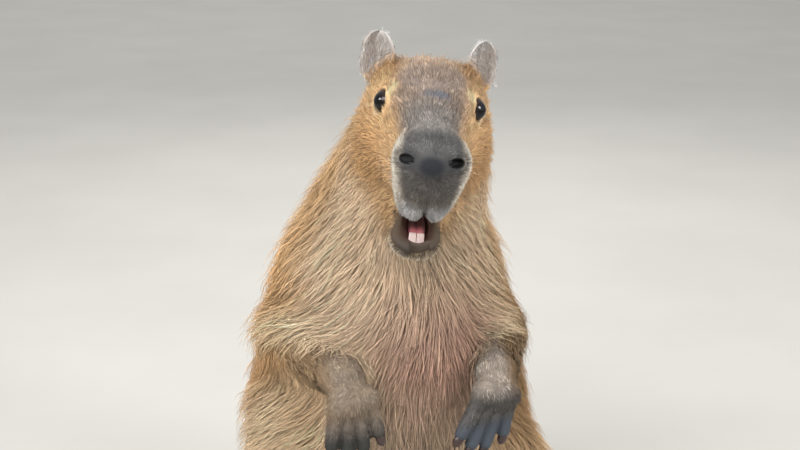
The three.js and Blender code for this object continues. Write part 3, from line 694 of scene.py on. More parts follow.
def make_ear(side):
    """A leaf with a notched edge and folds in its hollow. t runs up it, u across it and v through it."""
    ear = new_sphere(40, 26)
    round_points = points_of(ear)
    t = (round_points[:, 2] + 1) / 2
    girth = np.maximum(np.sqrt(np.maximum(1 - round_points[:, 2] ** 2, 0)), 1e-6)
    u, v = round_points[:, 0] / girth, round_points[:, 1] / girth
    low = 0.8 + 0.2 * np.sin(np.clip(t / 0.45, 0, 1) * math.pi / 2)
    high = np.sqrt(np.maximum(1 - (np.maximum(t - 0.45, 0) / 0.555) ** 2.6, 0))
    notch = 1 - 0.1 * np.exp(-((t - 0.62) / 0.07) ** 2) * (u * side > 0.3)
    half = EAR_HALF_WIDTHS[side] * np.where(t < 0.45, low, high) * notch
    thick = (5.2 - 3 * t) * (1 - 0.3 * u ** 2)
    rim = 1.3 * np.exp(-((np.abs(u) - 0.86) / 0.12) ** 2) * (v < 0)
    fold = 1.2 * np.sin(9 * u + 2 * t) * (1 - u ** 2) * (v < 0) * t
    cup = EAR_CUP * (1 - u ** 2) * (1 - 0.6 * t ** 2)
    pinched = np.sqrt(np.maximum(1 - np.abs(2 * t - 1) ** 6, 0))
    x = half * u * np.where(t < 0.5, pinched, 1) - side * 4 * t ** 2
    y = cup + (0.5 + 0.5 * v * pinched) * thick - rim - fold - 6 * t
    z = t * (EAR_HEIGHT + EAR_ROOT) - EAR_ROOT
    pose = np.array(ear_pose(side))
    move_points(ear, metres(np.column_stack((x, y, z)) @ pose[:3, :3].T + pose[:3, 3]))
    ear.data.uv_layers[0].name = "unwrap"
    corner = np.empty(len(ear.data.loops) * 2)
    ear.data.uv_layers[0].data.foreach_get("uv", corner)
    corner = corner.reshape(-1, 2) * (0.06, 0.06) + (0.02 if side > 0 else 0.9, 0.93)
    ear.data.uv_layers[0].data.foreach_set("uv", corner.ravel())
    return ear


# Out of the head along an ear's root, in the head's axes.
EAR_SEAT = np.array((0.72, 0.15, 0.68))


def from_ear(points):
    """Points in the head's axes from the root of the nearer ear, with both sides laid on the left."""
    local = to_head(points)
    return folded(local) - np.where(local[:, :1] > 0, EAR_PLACES[1], EAR_PLACES[-1])


def on_ear(points):
    """0 off the ears, rising to 1 on their leaves."""
    return np.clip((from_ear(points) @ EAR_SEAT - 4) / 6, 0, 1)


for side in (1, -1):
    ear = make_ear(side)
    apply(skin, "BOOLEAN", operation="UNION", solver="EXACT", object=ear)
    bpy.data.objects.remove(ear)


def smooth_near(piece, chosen, turns):
    """Softens the points that are chosen by their place."""
    flags = chosen(millimetres(points_of(piece)))
    edit_chosen(piece, "VERT", flags, bpy.ops.mesh.vertices_smooth, factor=0.5, repeat=turns)


def ear_roots(points):
    """The seam where an ear meets the head."""
    local = from_ear(points)
    up = local @ EAR_SEAT
    return (np.abs(up - 1) < 7) & (np.linalg.norm(local, axis=1) < 30)


smooth_near(skin, ear_roots, 4)


# Eyes: a ball with its cornea standing proud, seen between the lids.
CORNEA_HEIGHT = 1.1


def make_eye(side):
    eye = new_sphere(48, 32, EYE_RADIUS / 1000)
    round_points = points_of(eye) * 1000
    out = round_points[:, 2] / EYE_RADIUS
    round_points[:, 2] += CORNEA_HEIGHT * np.clip((out - 0.6) / 0.4, 0, 1) ** 1.5
    aim = Vector((side * EYE_FACING[0], *EYE_FACING[1:])).to_track_quat("Z", "Y").to_matrix()
    local = round_points @ np.array(aim).T + (side * EYE_CENTRE[0], *EYE_CENTRE[1:])
    move_points(eye, metres(from_head(local)))
    eye.name = eye.data.name = "eyeball_left" if side > 0 else "eyeball_right"
    iris = eye.data.attributes.new("iris", "FLOAT", "POINT")
    iris.data.foreach_set("value", out)
    bpy.ops.object.shade_smooth()
    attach(eye, "root")
    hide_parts("eye_left" if side > 0 else "eye_right")
    return eye


eyes = [make_eye(side) for side in (1, -1)]


# The coat's colours, painted one over the other. Each has a place and a strength there.
def linear(code):
    """An sRGB hex colour as linear light."""
    channels = np.array([int(code[k:k + 2], 16) for k in (1, 3, 5)]) / 255
    return np.where(channels <= 0.04045, channels / 12.92, ((channels + 0.055) / 1.055) ** 2.4)


def patch(points, centre, radii, soft=0.5):
    """1 inside an egg shape and 0 outside it."""
    return 1 - fade(np.linalg.norm((points - centre) / np.asarray(radii, float), axis=1), 1 - soft, 1 + soft)


def speckle(points, size, seed=0):
    """Smooth random patches from -1 to 1, about a size across."""
    rng = np.random.default_rng(seed)
    total = np.zeros(len(points))
    for _ in range(6):
        way = rng.normal(size=3)
        along = points @ (way / np.linalg.norm(way))
        wave = size * rng.uniform(0.7, 1.5)
        total += np.sin(along * 6.28 / wave + rng.uniform(0, 6))
    return total / 3


def muzzle_rim(local):
    """1 on the pale band along both sides of the muzzle."""
    near = folded(local - (2, 0, 0))
    edge = near[:, 0] - np.interp(near[:, 2], (-66, -50, -30, -10, 8), (22, 24, 28.5, 31.5, 30))
    high = fade(near[:, 2], -70, -58) * (1 - fade(near[:, 2], 2, 16))
    return fade(edge, -6, 0) * high * fade(-near[:, 1], 72, 98)


def lip_distance(local):
    """The distance from the open mouth, shorter under the lower lip's middle, where its rim is broad."""
    low = 1 - fade(local[:, 2], -92, -84)
    return mouth_distance(local) - low * (1 + 4.5 * np.exp(-((local[:, 0] + 3) / 15) ** 2))


# Patches of the body's coat: colour, strength, place, half sizes and softness.
BODY_PATCHES = [
    # Between the forearms, where the thin hair shows the skin, and below them a grey band of painted shade,
    # where the chest folds over the belly.
    ("#b98a7a", 0.8, (22, -110, 395), (46, 60, 58), 0.5),
    ("#ab8c7a", 0.6, (5, -110, 325), (46, 60, 50), 0.5),
    # Painted shade: a grey band where the chest folds over the belly.
    ("#988a7c", 0.6, (-5, -110, 262), (70, 60, 24), 0.5),
    # The pale hip and flanks.
    ("#ecd2b0", 0.6, (-136, -68, 282), (44, 60, 56), 0.5),
    ("#ead3b0", 0.6, (-120, -70, 170), (60, 60, 70), 0.5),
    ("#dcc09a", 0.6, (120, -70, 180), (60, 60, 80), 0.5),
    # Painted shade on the left side, and the pale cuffs of hair above the forearms.
    ("#8d6f4c", 0.75, (122, -30, 350), (44, 90, 110), 0.5),
    ("#e8d0aa", 0.65, (-108, -78, 404), (48, 40, 20), 0.5),
    ("#e8d0aa", 0.75, (88, -80, 394), (32, 40, 16), 0.5),
    # The breast and throat.
    ("#c0a08a", 0.5, (0, -120, 432), (50, 60, 40), 0.6),
    ("#a58f76", 0.7, (5, -120, 492), (46, 50, 14), 0.6),
]
# The patch of hair on the chin, and the bare end of the nose.
CHIN = ((-3, -92, -108), (40, 34, 20))
NOSE = (18, 12, 9.5)


def markings_and_painted_light(points):
    """The animal's colour at many points: coat, face, bare skin and mouth, with painted shade in its hollows
    and on its left side, and a painted highlight on the nose.
    """
    local = to_head(points)
    near = folded(local)
    _, y, z = local.T
    wide, deep, high = points.T
    colour = np.tile(linear("#d4ab7d"), (len(points), 1))

    def paint(code, strength):
        colour[:] += np.clip(strength, 0, 1)[:, None] * (linear(code) - colour)

    patches = speckle(points, 60)
    paint("#a87c4e", 0.8 * fade(deep, 20, 90) + 0.15 * patches)
    paint("#c79764", 0.75 * fade(np.abs(wide), 95, 135))
    front = fade(-deep, 40, 80) * fade(high, 180, 300) * fade(-np.abs(wide), -110, -70)
    paint("#e8c8a6", 0.9 * front)
    for code, strength, centre, radii, soft in BODY_PATCHES:
        paint(code, strength * patch(points, centre, radii, soft))

    # Forearms, paws and feet.
    limbs = 1 - fade(limb_distance(points), 2, 9)
    paint("#877868", 0.9 * limbs * fade(-deep, 40, 75))
    # Painted light: the left forearm is painted lighter, to make up for the shade that the lamps leave on
    # that side.
    paint("#a2968a", 0.8 * limbs * fade(-deep, 40, 75) * (wide > 0))
    outer_side = limbs * fade(high, 300, 330)
    paint("#b8966f", 0.8 * outer_side * fade(-wide, 88, 112))
    paint("#94744f", 0.9 * outer_side * fade(wide, 90, 108))
    dark_paw = np.where(wide > 0, fade(-high, -352, -330), 0.8 * fade(-high, -336, -312))
    paint("#4d4b4a", 0.9 * limbs * fade(-deep, 112, 140) * fade(high, 150, 200) * dark_paw)
    toes = (1 - fade(toe_distance(points), 1, 5)) * fade(-high, -318, -300)
    paint("#3a4048", 0.95 * toes * (high > 150) * (wide > 0))
    paint("#222321", 0.95 * toes * (high > 150) * (wide <= 0))
    paint("#6f6152", 0.9 * limbs * (1 - fade(high, 60, 110)))
    paint("#4c4641", 0.9 * limbs * (1 - fade(high, 20, 50)) * fade(-deep, 60, 100))

    # The head: cheeks, crown, brow and the rings around the eyes.
    head = 1 - fade(head_distance(local), 4, 22)
    paint("#d4a672", 0.8 * head)
    paint("#c69662", 0.7 * head * patch(near, (60, -10, -50), (26, 50, 34), 0.5))
    paint("#907e71", 0.9 * head * fade(z, -12, 14) * fade(-near[:, 0], -48, -26) * fade(-y, -75, -20))
    paint("#b99474", 0.6 * head * fade(z, 4, 20) * (1 - fade(-y, -75, -20)))
    paint("#bd9468", 0.7 * head * patch(near, (38, 52, 22), (14, 30, 16), 0.6))
    paint("#7f7a74", 0.8 * head * fade(-y, 18, 60) * fade(-near[:, 0], -34, -20) * fade(z, -40, -6))
    paint("#626c7c", 0.9 * head * patch(local, (4, -28, 15), (13, 8, 12), 0.5))
    paint("#f0d6a4", 0.95 * head * patch(near, (40, -8, 12), (6, 9, 8), 0.5))
    paint("#d6ab78", 0.7 * head * patch(near, (42, -6, -17), (9, 15, 6), 0.6))

    # The muzzle: its dark front and pale sides, the nose, the lips and the chin.
    paint("#575553", 0.95 * head * fade(-y, 92, 112))
    paint("#e2d6c4", 0.95 * head * muzzle_rim(local))
    # Painted highlight: a faint pale band across the top of the nose.
    paint("#7d7c80", 0.2 * patch(local, (1, -128, 12), (24, 12, 4), 0.6))
    paint("#14161b", 0.97 * patch(local, (2, -136, -1), (16, 13, 11), 0.5))
    paint("#6d6567", 0.5 * patch(local, (2.5, -134, -24), (9, 12, 9), 0.5))
    # Painted shade around the nostrils, darkest at their rims.
    paint("#2a2a2c", 0.85 * (1 - fade(nostril_distance(local), 1, 9)))
    paint("#bab8b8", 0.95 * head * patch(near, (12, -122, -60), (17, 26, 15), 0.5))
    from_lip = lip_distance(local)
    paint("#352e27", 0.95 * head * (1 - fade(from_lip, 3.5, 6.5)) * (1 - fade(z, -92, -84)))
    paint("#e6d8c0", 0.95 * head * fade(from_lip, 5, 8) * patch(local, *CHIN, 0.4))
    # Painted shade in the split of the upper lip, just above the open mouth.
    paint("#2e2520", 0.95 * (1 - fade(cleft_distance(local), 0, 2)) * fade(z, -78, -74))

    # The lining of the mouth with painted shade deeper in, painted shade inside the nostrils, the rims of
    # the lids, and the ears.
    inside = 1 - fade(mouth_distance(local), -1, 1.5)
    # Painted shade: the mouth's lining darkens behind the lips.
    paint("#3a2622", inside * fade(y, -112, -98))
    paint("#5c2c2c", inside * patch(local, (-3, -74, -98), (10, 28, 12), 0.5))
    # Painted shade: the insides of the nostrils are near black.
    paint("#060505", 1 - fade(nostril_distance(local), 0.4, 2.2))
    upper_lid = fade(in_eye(local)[:, 1], -4, 3)
    near_lids = (1 - fade(np.abs(lid_opening(local)), 2.5, 5)) * head
    paint("#d6c09c", 0.6 * near_lids * (1 - upper_lid))
    paint("#1d1715", (1 - fade(np.abs(lid_opening(local)), 1.0, 2.6)) * (0.45 + 0.5 * upper_lid))
    ears = on_ear(points)
    paint("#dccfc7", ears)
    paint("#f2ebe5", ears * fade(near[:, 2] - 4 * near[:, 0] / 10, 16, 30))
    return np.clip(colour, 0, 1)


def bare(points):
    """1 on the naked leather of the nose, lips, lids and toes."""
    local = to_head(points)
    nose = patch(local, (2.5, -134, 0), NOSE, 0.3)
    nose = np.maximum(nose, 1 - fade(nostril_distance(local), 1.5, 3))
    mouth = 1 - fade(lip_distance(local), 1.5, 3.5)
    mouth = mouth * (head_distance(local) < 8)
    lids = 1 - fade(np.abs(lid_opening(local)), 2, 4)
    _, deep, high = points.T
    fore = (1 - fade(toe_distance(points), 1, 4)) * fade(-high, -318, -300) * (high > 150)
    hind = (1 - fade(limb_distance(points), 1, 4)) * (1 - fade(high, 18, 34)) * fade(-deep, 90, 120)
    return np.clip(np.maximum.reduce([nose, mouth, lids, fore, hind]), 0, 1)


def wet(points):
    """1 on the moist lining of the mouth and the rims of the lids."""
    local = to_head(points)
    return np.maximum(1 - fade(mouth_distance(local), -2, 1), 1 - fade(np.abs(lid_opening(local)), 0.5, 1.5))


# The lie of the coat.
def unit(vectors):
    """Vectors made one long."""
    return vectors / np.maximum(np.linalg.norm(vectors, axis=1), 1e-9)[:, None]


def head_lie(local):
    """Back from the nose, up over the forehead and down over the cheeks, in the head's frame."""
    x, y, z = local.T
    side = np.sign(x)
    low = fade(-z, 10, 60)
    lie = np.column_stack((0.15 * side, np.ones_like(x), 0.25 - 1.1 * low))
    front = fade(-y, 104, 128)
    spread = np.column_stack((x, 6 + 0 * x, z + 4))
    lie = unit(lie) + front[:, None] * (1.6 * unit(spread) - unit(lie))
    chin = fade(-z, 88, 104)
    lie += chin[:, None] * (np.column_stack((0.02 * x, 0.5 + 0 * x, -1 + 0 * x)) - lie)
    away = folded(local) - EYE_CENTRE
    ring = 1 - fade(np.linalg.norm(away, axis=1), 14, 30)
    away[:, 0] *= side
    return lie + 1.2 * ring[:, None] * unit(away)


def body_lie(points):
    """Down the body, outwards at breast, cuffs and right hip, and along the legs, in the body's frame."""
    x, y, z = points.T
    side = np.sign(x)
    outward = np.clip((np.abs(x) - 12) / 60, 0, 1)
    chest = fade(-y, 0, 50) * fade(z, 330, 410) * (1 - fade(z, 540, 600))
    cuffs = np.exp(-((z - 398) / 30) ** 2) * fade(np.abs(x), 55, 95) * fade(-y, -20, 20)
    cuffs = cuffs * np.where(x > 0, 0.6, 1)
    hips = np.exp(-((z - 292) / 40) ** 2) * fade(-x, 80, 120)
    sideways = side * outward * (0.15 + 0.85 * chest + 1.3 * cuffs + 1.4 * hips)
    lie = np.column_stack((sideways, 0.2 - 0.15 * chest, -1 + 0.35 * cuffs))
    lie[:, 0] += (0.16 + 0.16 * chest) * speckle(points, 120, 3) + 0.12 * speckle(points, 36, 4)
    thigh = 1 - fade(distance(folded(points), THIGH, 24), 0, 16)
    lie += thigh[:, None] * (np.column_stack((0.1 * side, -0.45 + 0 * x, -0.8 + 0 * x)) - lie)
    for paw in PAWS.values():
        start = np.array(FOREARM_START) * (paw["side"], 1, 1)
        end = np.array(paw["wrist"]) * (paw["side"], 1, 1)
        arm = 1 - fade(taper(points, start, end, *FOREARM_RADII), 2, 12)
        lie += arm[:, None] * ((end - start) / np.linalg.norm(end - start) - lie)
    feet = (1 - fade(foot_distance(points), 2, 8)) * (1 - fade(z, 50, 90))
    return lie + feet[:, None] * ((0, -1, -0.3) - lie)


def lie_of_coat(points):
    """The way the hair lies at many points, passing from the head's lie to the body's."""
    local = to_head(points)
    share = 1 - fade(head_distance(local), 6, 30)
    share = share * (1 - fade(local[:, 1], 50, 100))
    on_body = body_lie(points)
    return unit(on_body + share[:, None] * (head_lie(local) @ HEAD_AXES.T - on_body))


# A grid of distances to the skin, in millimetres, read between its points when the coat is laid.
GRID_LOW = np.array((-200.0, -330.0, -12.0))
GRID_STEP = 6.0
GRID_COUNT = (68, 96, 124)
axes = [low + GRID_STEP * np.arange(n) for low, n in zip(GRID_LOW, GRID_COUNT)]
grid_points = np.stack(np.meshgrid(*axes, indexing="ij"), axis=-1).reshape(-1, 3)


grid = (flesh(grid_points) + coat_depth(to_head(grid_points))).reshape(GRID_COUNT)
grid_slope = np.stack(np.gradient(grid, GRID_STEP), axis=-1)


def on_grid(points):
    """The distance to the skin and its outward direction."""
    place = np.clip((points - GRID_LOW) / GRID_STEP, 0, np.array(GRID_COUNT) - 1.001)
    cell = place.astype(int)
    share = place - cell
    value, slope = 0, 0
    for corner in np.ndindex(2, 2, 2):
        weight = np.prod(np.where(corner, share, 1 - share), axis=1)
        i, j, k = (cell + corner).T
        value = value + weight * grid[i, j, k]
        slope = slope + weight[:, None] * grid_slope[i, j, k]
    return value, unit(slope)


# Zones of the coat, each laid over those before it: where it is, then length, width and height over the
# skin in millimetres, how steeply it stands, how much it tufts, and how many hairs grow on a square
# centimetre.
def zones(points):
    local = to_head(points)
    near = folded(local)
    _, y, z = local.T
    wide, deep, high = points.T
    head = 1 - fade(head_distance(local), 4, 26)
    head = head * (1 - fade(y, 40, 90))
    limbs = 1 - fade(limb_distance(points), 2, 8)
    front = fade(-deep, 30, 70) * fade(high, 200, 280)
    forehead = head * fade(z, -25, 0) * fade(-y, -60, -20)
    crown = head * fade(z, 2, 16) * patch(local, (0, 62, 22), (60, 44, 40), 0.4)
    chin = head * patch(local, *CHIN, 0.4) * fade(lip_distance(local), 3, 6)
    around_eyes = 1 - fade(np.linalg.norm(near - EYE_CENTRE, axis=1), 15, 22)
    return [
        # The body, its front, the cuffs, the left side, the right hip and the belly between the forearms.
        (np.ones(len(points)), (46, 0.92, 8, 0.30, 0.5, 9.6)),
        (front, (64, 0.6, 8, 0.25, 0.4, 16.4)),
        (patch(points, (-105, -62, 404), (44, 60, 24), 0.5), (76, 0.58, 18, 0.6, 0.7, 13)),
        (patch(points, (84, -72, 398), (30, 50, 20), 0.5), (56, 0.52, 12, 0.5, 0.7, 16)),
        (patch(points, (118, -20, 380), (34, 70, 110), 0.5), (40, 0.8, 4, 0.2, 0.4, 11)),
        (patch(points, (-132, -62, 292), (40, 60, 44), 0.5), (70, 0.7, 30, 0.9, 0.75, 11)),
        (patch(points, (6, -110, 330), (40, 60, 60), 0.5), (54, 0.55, 7, 0.25, 0.6, 9)),
        # The forearms, their outer sides, the paws and the feet.
        (limbs * fade(-deep, 36, 60), (17, 0.6, 3, 0.35, 0.4, 30)),
        (limbs * fade(np.abs(wide), 88, 110) * fade(high, 310, 335), (24, 0.55, 5, 0.5, 0.5, 24)),
        (limbs * fade(-deep, 100, 140) * (high > 150), (7, 0.5, 1.2, 0.3, 0.3, 45)),
        (limbs * (1 - fade(high, 60, 110)), (9, 0.9, 1.5, 0.3, 0.3, 14)),
        # The neck and the head: forehead, crown, ear roots, muzzle and its rim, chin, eye rings and ears.
        (1 - fade(head_distance(local), 20, 70), (30, 0.6, 5, 0.3, 0.45, 18)),
        (head, (15, 0.58, 3.2, 0.38, 0.35, 31)),
        (forehead, (9, 0.58, 2.2, 0.55, 0.3, 58)),
        (crown, (10, 0.5, 2.2, 0.7, 0.3, 52)),
        (head * patch(near, (40, 56, 20), (14, 22, 16), 0.5), (18, 0.5, 5, 1.0, 0.5, 42)),
        (head * fade(-y, 70, 110), (5.5, 0.5, 1.4, 0.45, 0.2, 72)),
        (head * muzzle_rim(local), (9, 0.5, 2.2, 0.75, 0.2, 84)),
        (chin, (9, 0.5, 2.5, 0.8, 0.2, 60)),
        (head * around_eyes, (5, 0.45, 1.2, 0.3, 0.2, 50)),
        (on_ear(points), (8, 0.4, 1.2, 0.8, 0.2, 50)),
    ]


def coat_at(points):
    """Length, width, height, stand, tufting and hairs to a square centimetre at many points."""
    settings = np.zeros((len(points), 6))
    for strength, values in zones(points):
        settings += np.clip(strength, 0, 1)[:, None] * (np.array(values) - settings)
    settings[:, 5] *= 1 - bare(points)
    return settings


# How far the hairs' centre lines may go: to the sides, and clear of the floor.
COAT_LIMITS = ((-188, -300, 2.5), (188, 300, 720))
# No hair has its root below this height.
LOWEST_ROOT = 5
# Hairs longer than this, in millimetres, follow the form, and shorter ones keep their root's direction.
FOLLOWS_FORM = 11
# How deep a root sits, how far a segment can lift or lower a hair, and its least height over the floor.
ROOT_DEPTH = 0.8
LIFT = 6
FLOOR_GAP = 2
# How far single hairs stray from the lie, and how much their lengths and widths vary.
STRAY = 0.17
LENGTHS = (0.65, 1.2)
WIDTHS = (0.7, 1.2)
# The share of hairs that lead a tuft. A hair farther than the reach from its leader stays out of the tuft.
LEADER_SHARE = 0.09
TUFT_REACH = 22
rng = np.random.default_rng(7)


def sow(skin):
    """Roots of the hairs over the skin: places, outward directions, and places in the layer "unwrap"."""
    mesh = skin.data
    mesh.calc_loop_triangles()
    count = len(mesh.loop_triangles)
    corners = np.empty(count * 3, int)
    loops = np.empty(count * 3, int)
    normals = np.empty(count * 3)
    mesh.loop_triangles.foreach_get("vertices", corners)
    mesh.loop_triangles.foreach_get("loops", loops)
    mesh.loop_triangles.foreach_get("normal", normals)
    # Only the ears have this layer. The skin's own is named UVMap, so elsewhere these places are zero.
    flat = np.empty(len(mesh.loops) * 2)
    mesh.uv_layers["unwrap"].data.foreach_get("uv", flat)
    triangles = millimetres(points_of(skin))[corners.reshape(-1, 3)]
    patches = flat.reshape(-1, 2)[loops.reshape(-1, 3)]
    normals = normals.reshape(-1, 3)
    first, second, third = triangles.transpose(1, 0, 2)
    square_centimetres = np.linalg.norm(np.cross(second - first, third - first), axis=1) / 200
    weight = square_centimetres * coat_at(triangles.mean(axis=1))[:, 5]
    reach = np.cumsum(weight)
    total = int(reach[-1])
    picked = np.searchsorted(reach, (np.arange(total) + rng.random(total)) * reach[-1] / total)
    picked = np.minimum(picked, count - 1)
    a, b = rng.random((2, total))
    over = a + b > 1
    a[over], b[over] = 1 - a[over], 1 - b[over]
    share = np.column_stack((1 - a - b, a, b))
    roots = np.einsum("nk,nkd->nd", share, triangles[picked])
    places = np.einsum("nk,nkd->nd", share, patches[picked])
    keep = roots[:, 2] > LOWEST_ROOT
    return roots[keep], normals[picked][keep], places[keep]


def lay(roots, normals, settings, segments):
    """Centre lines of hairs that lie over the skin from their roots."""
    count = len(roots)
    length = settings[:, 0] * rng.uniform(*LENGTHS, count)
    height = settings[:, 2] * (0.3 + rng.gamma(1.5, 0.5, count))
    stray = rng.normal(scale=STRAY, size=(count, 3))
    out = normals
    line = [roots - ROOT_DEPTH * out]
    at = roots
    follows = settings[:, 0] > FOLLOWS_FORM
    for step in range(segments):
        s = (step + 1) / segments
        lie = lie_of_coat(at) + stray
        lie -= np.sum(lie * out, axis=1)[:, None] * out
        stand = settings[:, 3] * (1 - 0.75 * s)
        way = unit(unit(lie) + stand[:, None] * out)
        at = at + way * (length / segments)[:, None]
        value, slope = on_grid(at)
        target = height * (1 - (1 - s) ** 2)
        lift = np.where(follows, np.clip(target - value, -LIFT, LIFT), 0)
        out = np.where(follows[:, None], slope, out)
        at = at + lift[:, None] * out
        at[:, 2] = np.maximum(at[:, 2], FLOOR_GAP)
        line.append(at)
    return np.stack(line, axis=1)


def leaders_of(roots):
    """For each hair, the nearest of the leading hairs."""
    leaders = np.flatnonzero(rng.random(len(roots)) < LEADER_SHARE)
    tree = KDTree(len(leaders))
    for n, k in enumerate(leaders):
        tree.insert(roots[k], n)
    tree.balance()
    return leaders[[tree.find(p)[1] for p in roots]]


def tufted(lines, roots, leader, tufting):
    """Draws hairs towards their leading hairs, more at their tips."""
    s = np.linspace(0, 1, lines.shape[1]) ** 1.4
    draw = (tufting * rng.uniform(0.3, 1.4, len(roots)))[:, None, None] * s[None, :, None]
    leading = roots[leader]
    own, led = (1 - 0.75 * s)[None, :, None], (0.75 * s)[None, :, None]
    target = roots[:, None] * own + leading[:, None] * led + (lines[leader] - leading[:, None])
    close = np.linalg.norm(roots - leading, axis=1) < TUFT_REACH
    return lines + draw * (target - lines) * close[:, None, None]


# Half the width of the spot that each hair takes on the baked picture, as a share of the whole.
HAIR_SPOT = 0.0015


def spindle_faces(rings):
    """The triangles of one hair: a closed three-sided spindle that ends in a point."""
    tip = 3 * (rings - 1)
    last = tip - 3
    faces = [(0, 1, 2)]
    for ring in range(rings - 2):
        for k in range(3):
            a, b = 3 * ring + k, 3 * ring + (k + 1) % 3
            faces += [(a, a + 3, b + 3), (a, b + 3, b)]
    return np.array(faces + [(last + k, tip, last + (k + 1) % 3) for k in range(3)])


def set_all(values, name, array):
    """Gives every row of a layer its value."""
    values.foreach_set(name, np.asarray(array, np.float32).ravel())


def with_alpha(colours):
    """Colours with a last column of ones."""
    return np.concatenate((colours, np.ones((*colours.shape[:-1], 1))), axis=-1)


def hair_mesh(name, lines, width, normals, places, colour):
    """Hairs as closed three-sided spindles along their centre lines."""
    count, rings = lines.shape[:2]
    along = np.gradient(lines, axis=1)
    along /= np.maximum(np.linalg.norm(along, axis=2), 1e-9)[:, :, None]
    across = np.cross(along, normals[:, None])
    across /= np.maximum(np.linalg.norm(across, axis=2), 1e-9)[:, :, None]
    up = np.cross(across, along)
    s = np.linspace(0, 1, rings)[:-1]
    profile = 0.5 * (0.8 + 1.2 * s - 1.7 * s ** 2)
    half = width[:, None] * profile[None]
    body = lines[:, :-1]
    sides = [body - across[:, :-1] * half[..., None], body + across[:, :-1] * half[..., None],
             body + up[:, :-1] * (0.8 * half)[..., None]]
    points = np.stack(sides, axis=2).reshape(count, -1, 3)
    points = np.concatenate((points, lines[:, -1:]), axis=1)
    each = points.shape[1]
    index = (spindle_faces(rings)[None] + each * np.arange(count)[:, None, None]).reshape(-1, 3)
    mesh = bpy.data.meshes.new(name)
    mesh.vertices.add(count * each)
    mesh.vertices.foreach_set("co", metres(points.reshape(-1, 3)).ravel())
    mesh.loops.add(index.size)
    mesh.loops.foreach_set("vertex_index", index.ravel().astype(np.int32))
    mesh.polygons.add(len(index))
    mesh.polygons.foreach_set("loop_start", np.arange(0, index.size, 3, dtype=np.int32))
    mesh.update(calc_edges=True)
    ring_of = np.append(np.repeat(np.arange(rings - 1), 3), rings - 1)
    side_of = np.append(np.tile((-1.0, 1.0, 0.0), rings - 1), 0.0)
    s_of = ring_of / (rings - 1)
    # Painted shade: each hair is darker and warmer towards its root, where the coat shades it, and a little
    # lighter at its tip.
    shade = 0.85 + 0.32 * s_of - 0.08 * s_of ** 2
    tinted = np.minimum(colour[:, None] * shade[None, :, None] ** (1, 1.15, 1.35), 1)
    paint = mesh.color_attributes.new("markings_and_painted_light", "FLOAT_COLOR", "POINT")
    set_all(paint.data, "color", with_alpha(tinted))
    rest = mesh.attributes.new("skin_normal", "FLOAT_VECTOR", "POINT")
    set_all(rest.data, "vector", np.repeat(normals[:, None], each, axis=1))
    spot = places[:, None] + HAIR_SPOT * np.stack((side_of, 2 * s_of - 1), axis=-1)[None]
    uv = mesh.uv_layers.new(name="OFBake")
    set_all(uv.data, "uv", spot.reshape(-1, 2)[index.ravel()])
    piece = bpy.data.objects.new(name, mesh)
    bpy.context.collection.objects.link(piece)
    mesh.materials.append(HAIR)
    mesh.polygons.foreach_set("use_smooth", np.ones(len(index), bool))
    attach(piece, "root")


# Materials. Patterns read Object coordinates, so a scale says how many of a pattern's cells lie along a
# metre: 900 makes them 1.1 mm, and 60 makes them 17 mm.
STREAKS = 900
PORES = 900
FUZZ = 700
HORN_CLOUDS = 60
TONGUE_CLOUDS = 90
TOOTH_CLOUDS = 120
FLOOR_CLOUDS = 3
# A plain material's relief is this many times finer than its clouds of colour.
FINER = 6


def node(tree, kind, inputs=None, **settings):
    """Adds a node with its settings, its values and its links."""
    made = tree.nodes.new(kind)
    for key, value in settings.items():
        setattr(made, key, value)
    for key, value in (inputs or {}).items():
        if isinstance(value, bpy.types.NodeSocket):
            tree.links.new(value, made.inputs[key])
        else:
            made.inputs[key].default_value = value
    return made


def material(name):
    """A new material, with its tree and its shader."""
    made = bpy.data.materials.new(name)
    made.use_nodes = True
    return made, made.node_tree, made.node_tree.nodes["Principled BSDF"]


# Guard hair is keratin with flat scales. To the eye it is dull, with a weak gloss, and lighter and darker
# in streaks. The coat is lit as one surface: each hair takes mostly the direction of the skin below it,
# and a little of its own. Real streaks are as narrow as a hair, about 0.1 mm. They are drawn 1.1 mm long,
# the finest that the render shows.
OWN_DIRECTION = 0.16


def hair_material():
    made, tree, shader = material("guard_hair")
    paint = node(tree, "ShaderNodeAttribute", attribute_name="markings_and_painted_light")
    lay = node(tree, "ShaderNodeAttribute", attribute_name="skin_normal")
    own = node(tree, "ShaderNodeNewGeometry")
    ways = {0: OWN_DIRECTION, 4: lay.outputs["Vector"], 5: own.outputs["Normal"]}
    soft = node(tree, "ShaderNodeMix", ways, data_type="VECTOR")
    way = node(tree, "ShaderNodeVectorMath", {0: soft.outputs[1]}, operation="NORMALIZE")
    tree.links.new(way.outputs["Vector"], shader.inputs["Normal"])
    place = node(tree, "ShaderNodeTexCoord").outputs["Object"]
    streaks = node(tree, "ShaderNodeTexNoise", {"Vector": place, "Scale": STREAKS, "Detail": 2.0})
    vary = node(tree, "ShaderNodeMapRange", {"Value": streaks.outputs["Fac"], "To Min": 0.8, "To Max": 1.2})
    factors = {0: paint.outputs["Color"], 1: vary.outputs["Result"]}
    tint = node(tree, "ShaderNodeVectorMath", factors, operation="MULTIPLY")
    tree.links.new(tint.outputs["Vector"], shader.inputs["Base Color"])
    shader.inputs["Roughness"].default_value = 0.55
    shader.inputs["Specular IOR Level"].default_value = 0.35
    return made


